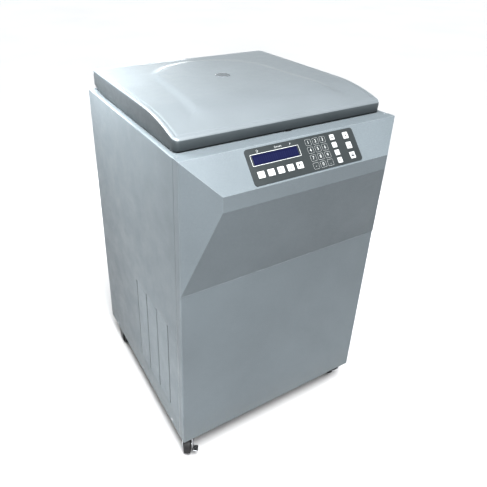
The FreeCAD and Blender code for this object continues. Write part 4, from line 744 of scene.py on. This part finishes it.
def key_signs():
    """Generic signs for the keys: each draws round the middle of its key."""
    def ring(marks, x, y):
        marks.circle(x, y, 0.0038, 0.0007)
        marks.bar((x + 0.0015, y + 0.0032), (x + 0.0047, y + 0.0045), 0.0008)

    def clock(marks, x, y):
        marks.circle(x, y, 0.0042, 0.0006)
        marks.bar((x, y), (x, y - 0.0028), 0.0006)
        marks.bar((x, y), (x + 0.0021, y + 0.0010), 0.0006)

    def up_down(marks, x, y):
        marks.bar((x - 0.002, y - 0.0036), (x - 0.002, y + 0.0030), 0.0010)
        marks.fill([(x - 0.0037, y - 0.0022), (x - 0.002, y - 0.0046), (x - 0.0003, y - 0.0022)])
        marks.bar((x + 0.0025, y - 0.0024), (x + 0.0025, y + 0.0036), 0.0010)
        marks.fill([(x + 0.0008, y + 0.0022), (x + 0.0042, y + 0.0022), (x + 0.0025, y + 0.0046)])

    def steps(marks, x, y):
        for index in range(4):
            left = x - 0.0042 + 0.0023 * index
            marks.bar((left, y + 0.0036), (left, y + 0.0018 - 0.0018 * index), 0.0011)

    def slant(marks, x, y):
        marks.fill([(x - 0.0038, y - 0.0034), (x + 0.0018, y - 0.0034), (x - 0.0038, y + 0.0034)])
        marks.bar((x - 0.001, y + 0.0038), (x + 0.0042, y - 0.0022), 0.0013)

    def wedge(marks, x, y):
        marks.fill([(x - 0.0026, y + 0.0020), (x, y - 0.0026), (x + 0.0026, y + 0.0020)])

    def page(marks, x, y):
        marks.frame(x, y, 0.0052, 0.0064, 0.0005, 0.0006)
        marks.bar((x - 0.0013, y - 0.001), (x + 0.0013, y - 0.001), 0.0004)
        marks.bar((x - 0.0013, y + 0.001), (x + 0.0013, y + 0.001), 0.0004)

    def box(marks, x, y):
        marks.frame(x, y, 0.0060, 0.0060, 0.0005, 0.0006)

    def enter(marks, x, y):
        marks.bar((x + 0.0030, y - 0.0030), (x + 0.0030, y + 0.0014), 0.0008)
        marks.bar((x + 0.0034, y + 0.0012), (x - 0.0022, y + 0.0012), 0.0008)
        marks.fill([(x - 0.0020, y - 0.0010), (x - 0.0020, y + 0.0034), (x - 0.0044, y + 0.0012)])

    def play(marks, x, y):
        marks.fill([(x - 0.0022, y - 0.0030), (x + 0.0034, y), (x - 0.0022, y + 0.0030)])

    def short_run(marks, x, y):
        marks.fill([(x - 0.0042, y - 0.0028), (x - 0.0008, y - 0.0004), (x - 0.0042, y + 0.0020)])
        marks.fill([(x + 0.0006, y - 0.0010), (x + 0.0042, y + 0.0015), (x + 0.0006, y + 0.0040)])

    def open_lid(marks, x, y):
        marks.fill([(x - 0.0044, y + 0.0032), (x - 0.0044, y - 0.0006), (x + 0.0044, y - 0.0006),
                    (x + 0.0044, y + 0.0032)])
        marks.bar((x - 0.0042, y - 0.0014), (x + 0.0034, y - 0.0040), 0.0011)

    signs = {"display_key_1": ring, "display_key_2": clock, "display_key_3": up_down,
             "display_key_4": steps, "display_key_5": slant, "entry_key_1": wedge, "entry_key_2": page,
             "entry_key_3": box, "entry_key_4": enter, "run_key_1": play, "run_key_2": short_run,
             "run_key_3": open_lid}
    return signs


def make_key_signs(grey):
    """A sign on each key, which moves with the key."""
    for node, draw in key_signs().items():
        marks = Print(slope_lift(node))
        draw(marks, *key_middle(node))
        marks.finish(node + "_sign", node, grey)


# ---------------------------------------------------------------- finishes for the CAD nodes
def paint(material, *names):
    """Give a material to every CAD node whose name starts with one of the names."""
    for node, piece in NODES.items():
        if node.startswith(names):
            piece.data.materials.clear()
            piece.data.materials.append(material)


def finish_lid():
    """The lid's moulded cover, its steel liner and the cap of its sight port."""
    paint(surface("liner_metal", (0.60, 0.61, 0.62), (0.72, 0.73, 0.74), 0.34, (900, 0.15, 0.0003),
                  metallic=1.0, spread=0.08, cloud=12, edge=0.001, stretch=(0.04, 1, 1)), "lid_liner")
    paint(surface("port_cap", (0.110, 0.122, 0.130), (0.130, 0.142, 0.150), 0.22, (600, 0.03, 0.0002),
                  cloud=30, edge=0.0012, coat=0.5), "lid_sight_port")
    top = surface("lid_top", (0.145, 0.160, 0.169), (0.158, 0.174, 0.184), 0.36, (1300, 0.05, 0.0002),
                  spread=0.05, cloud=3, edge=0.0, coat=0.15)
    skirt = surface("lid_skirt", (0.054, 0.064, 0.069), (0.067, 0.078, 0.084), 0.42, (1300, 0.08, 0.0002),
                    cloud=9, edge=0.0, coat=0.1)
    make_lid(top, skirt)


def finish_cabinet():
    """Painted sheet, frame and zinc-plated fittings; the side panels get vented skins of their own."""
    cabinet = cabinet_paint()
    paint(cabinet, "front_panel", "console_hood", "left_side_panel", "right_side_panel", "rear_panel",
          "top_deck")
    paint(surface("frame_paint", (0.045, 0.048, 0.050), (0.060, 0.063, 0.066), 0.45, (700, 0.12, 0.0003),
                  edge_wear_and_highlight=(0.28, 0.28, 0.28)), "base_tray", "frame_posts", "drive_deck")
    paint(surface("zinc_plate", (0.50, 0.51, 0.52), (0.66, 0.67, 0.69), 0.24, (420, 0.10, 0.0002),
                  metallic=1.0, spread=0.08, cloud=90, edge=0.0005, edge_wear_and_highlight=(0.80, 0.80, 0.80)),
          "panel_screws", "hinge_brackets", "lid_hinge_arms", "latch_hook", "lid_striker",
          "front_left_caster", "front_right_caster", "front_left_brake", "front_right_brake")
    # The perforated bands get a paler copy of the paint: a painted highlight for light caught by the rims of
    # the fine holes.
    band = cabinet_paint("band_painted_highlight", (0.138, 0.158, 0.170), (0.152, 0.174, 0.187))
    for node, side in (("left_side_panel", -1), ("right_side_panel", 1)):
        make_side_panel(node, side, cabinet, band)


def finish_console():
    """Key film, display and keys, with the print on them."""
    paint(surface("overlay_film", (0.041, 0.047, 0.049), (0.049, 0.055, 0.057), 0.42, (1600, 0.06, 0.0002),
                  cloud=12, edge=0.0006, specular=0.2), "keypad_overlay")
    paint(display_pane(), "display_window")
    paint(surface("key_white", (0.35, 0.358, 0.362), (0.38, 0.388, 0.392), 0.36, (1500, 0.04, 0.0002),
                  cloud=40, edge=0.0007), "display_key", "entry_key", "run_key")
    paint(surface("solder_mask", (0.010, 0.07, 0.03), (0.02, 0.11, 0.05), 0.35), "control_board")
    make_overlay_print(surface("print_white", (0.36, 0.37, 0.37), (0.40, 0.41, 0.41), 0.5, cloud=50,
                               edge=0.0))
    make_key_signs(surface("print_grey", (0.06, 0.065, 0.07), (0.09, 0.095, 0.10), 0.5, cloud=50, edge=0.0))


def finish_chamber():
    """Bowl, seal, guard, cooling pipe, rotor and buckets."""
    paint(turned_surface("bowl_steel", (0.56, 0.57, 0.58), (0.66, 0.67, 0.68), 0.26, 500), "chamber_bowl")
    paint(surface("seal_rubber", (0.018, 0.018, 0.019), (0.030, 0.030, 0.032), 0.72, (800, 0.20, 0.0004),
                  spread=0.10, edge=0.001), "chamber_seal", "rubber_mounts")
    paint(surface("guard_steel", (0.06, 0.06, 0.062), (0.11, 0.105, 0.10), 0.62, (240, 0.4, 0.0006),
                  metallic=0.6, spread=0.15, cloud=30), "guard_ring")
    paint(surface("copper_pipe", (0.55, 0.26, 0.14), (0.76, 0.42, 0.27), 0.30, (300, 0.08, 0.0003),
                  metallic=1.0, spread=0.12, cloud=25), "evaporator_coil")
    paint(turned_surface("rotor_metal", (0.10, 0.105, 0.115), (0.15, 0.155, 0.165), 0.32, 700), "rotor_yoke")
    paint(turned_surface("spindle_steel", (0.52, 0.52, 0.53), (0.62, 0.62, 0.63), 0.22, 900),
          "drive_spindle", "rotor_nut")
    paint(surface("bucket_metal", (0.46, 0.47, 0.49), (0.58, 0.59, 0.61), 0.32, (800, 0.12, 0.0003),
                  metallic=1.0, spread=0.08, cloud=20, edge=0.0012, edge_wear_and_highlight=(0.82, 0.82, 0.82),
                  stretch=(0.2, 0.2, 4)), "bucket_")


def finish_machinery():
    """Drive, cooling machine, mains inlet, drain and wheels."""
    paint(surface("machine_black", (0.016, 0.016, 0.017), (0.028, 0.028, 0.030), 0.30, (500, 0.12, 0.0004),
                  coat=0.4, edge_wear_and_highlight=(0.20, 0.20, 0.20)), "drive_motor", "compressor")
    paint(surface("fin_metal", (0.52, 0.53, 0.54), (0.68, 0.69, 0.70), 0.38, (500, 0.2, 0.0003),
                  metallic=1.0, stretch=(1, 1, 0.05)), "condenser")
    paint(surface("fan_black", (0.016, 0.016, 0.017), (0.028, 0.028, 0.030), 0.48, (900, 0.15, 0.0003)),
          "fan_frame", "fan_rotor")
    paint(surface("inlet_black", (0.014, 0.014, 0.015), (0.022, 0.022, 0.023), 0.30, (1200, 0.08, 0.0002),
                  cloud=30, edge=0.0006), "mains_inlet", "power_rocker")
    paint(surface("spout_nylon", (0.62, 0.61, 0.57), (0.70, 0.69, 0.66), 0.45, (600, 0.06, 0.0003),
                  cloud=40, edge=0.0006), "drain_spout")
    paint(surface("wheel_rubber", (0.010, 0.010, 0.011), (0.026, 0.026, 0.027), 0.55, (500, 0.25, 0.0004),
                  spread=0.15, cloud=60, edge=0.0012, edge_wear_and_highlight=(0.06, 0.058, 0.055)),
          "front_left_wheel", "front_right_wheel", "rear_left_wheel", "rear_right_wheel")


add_camera()
add_studio()
finish_lid()
finish_cabinet()
finish_console()
finish_chamber()
finish_machinery()
bpy.context.view_layer.update()
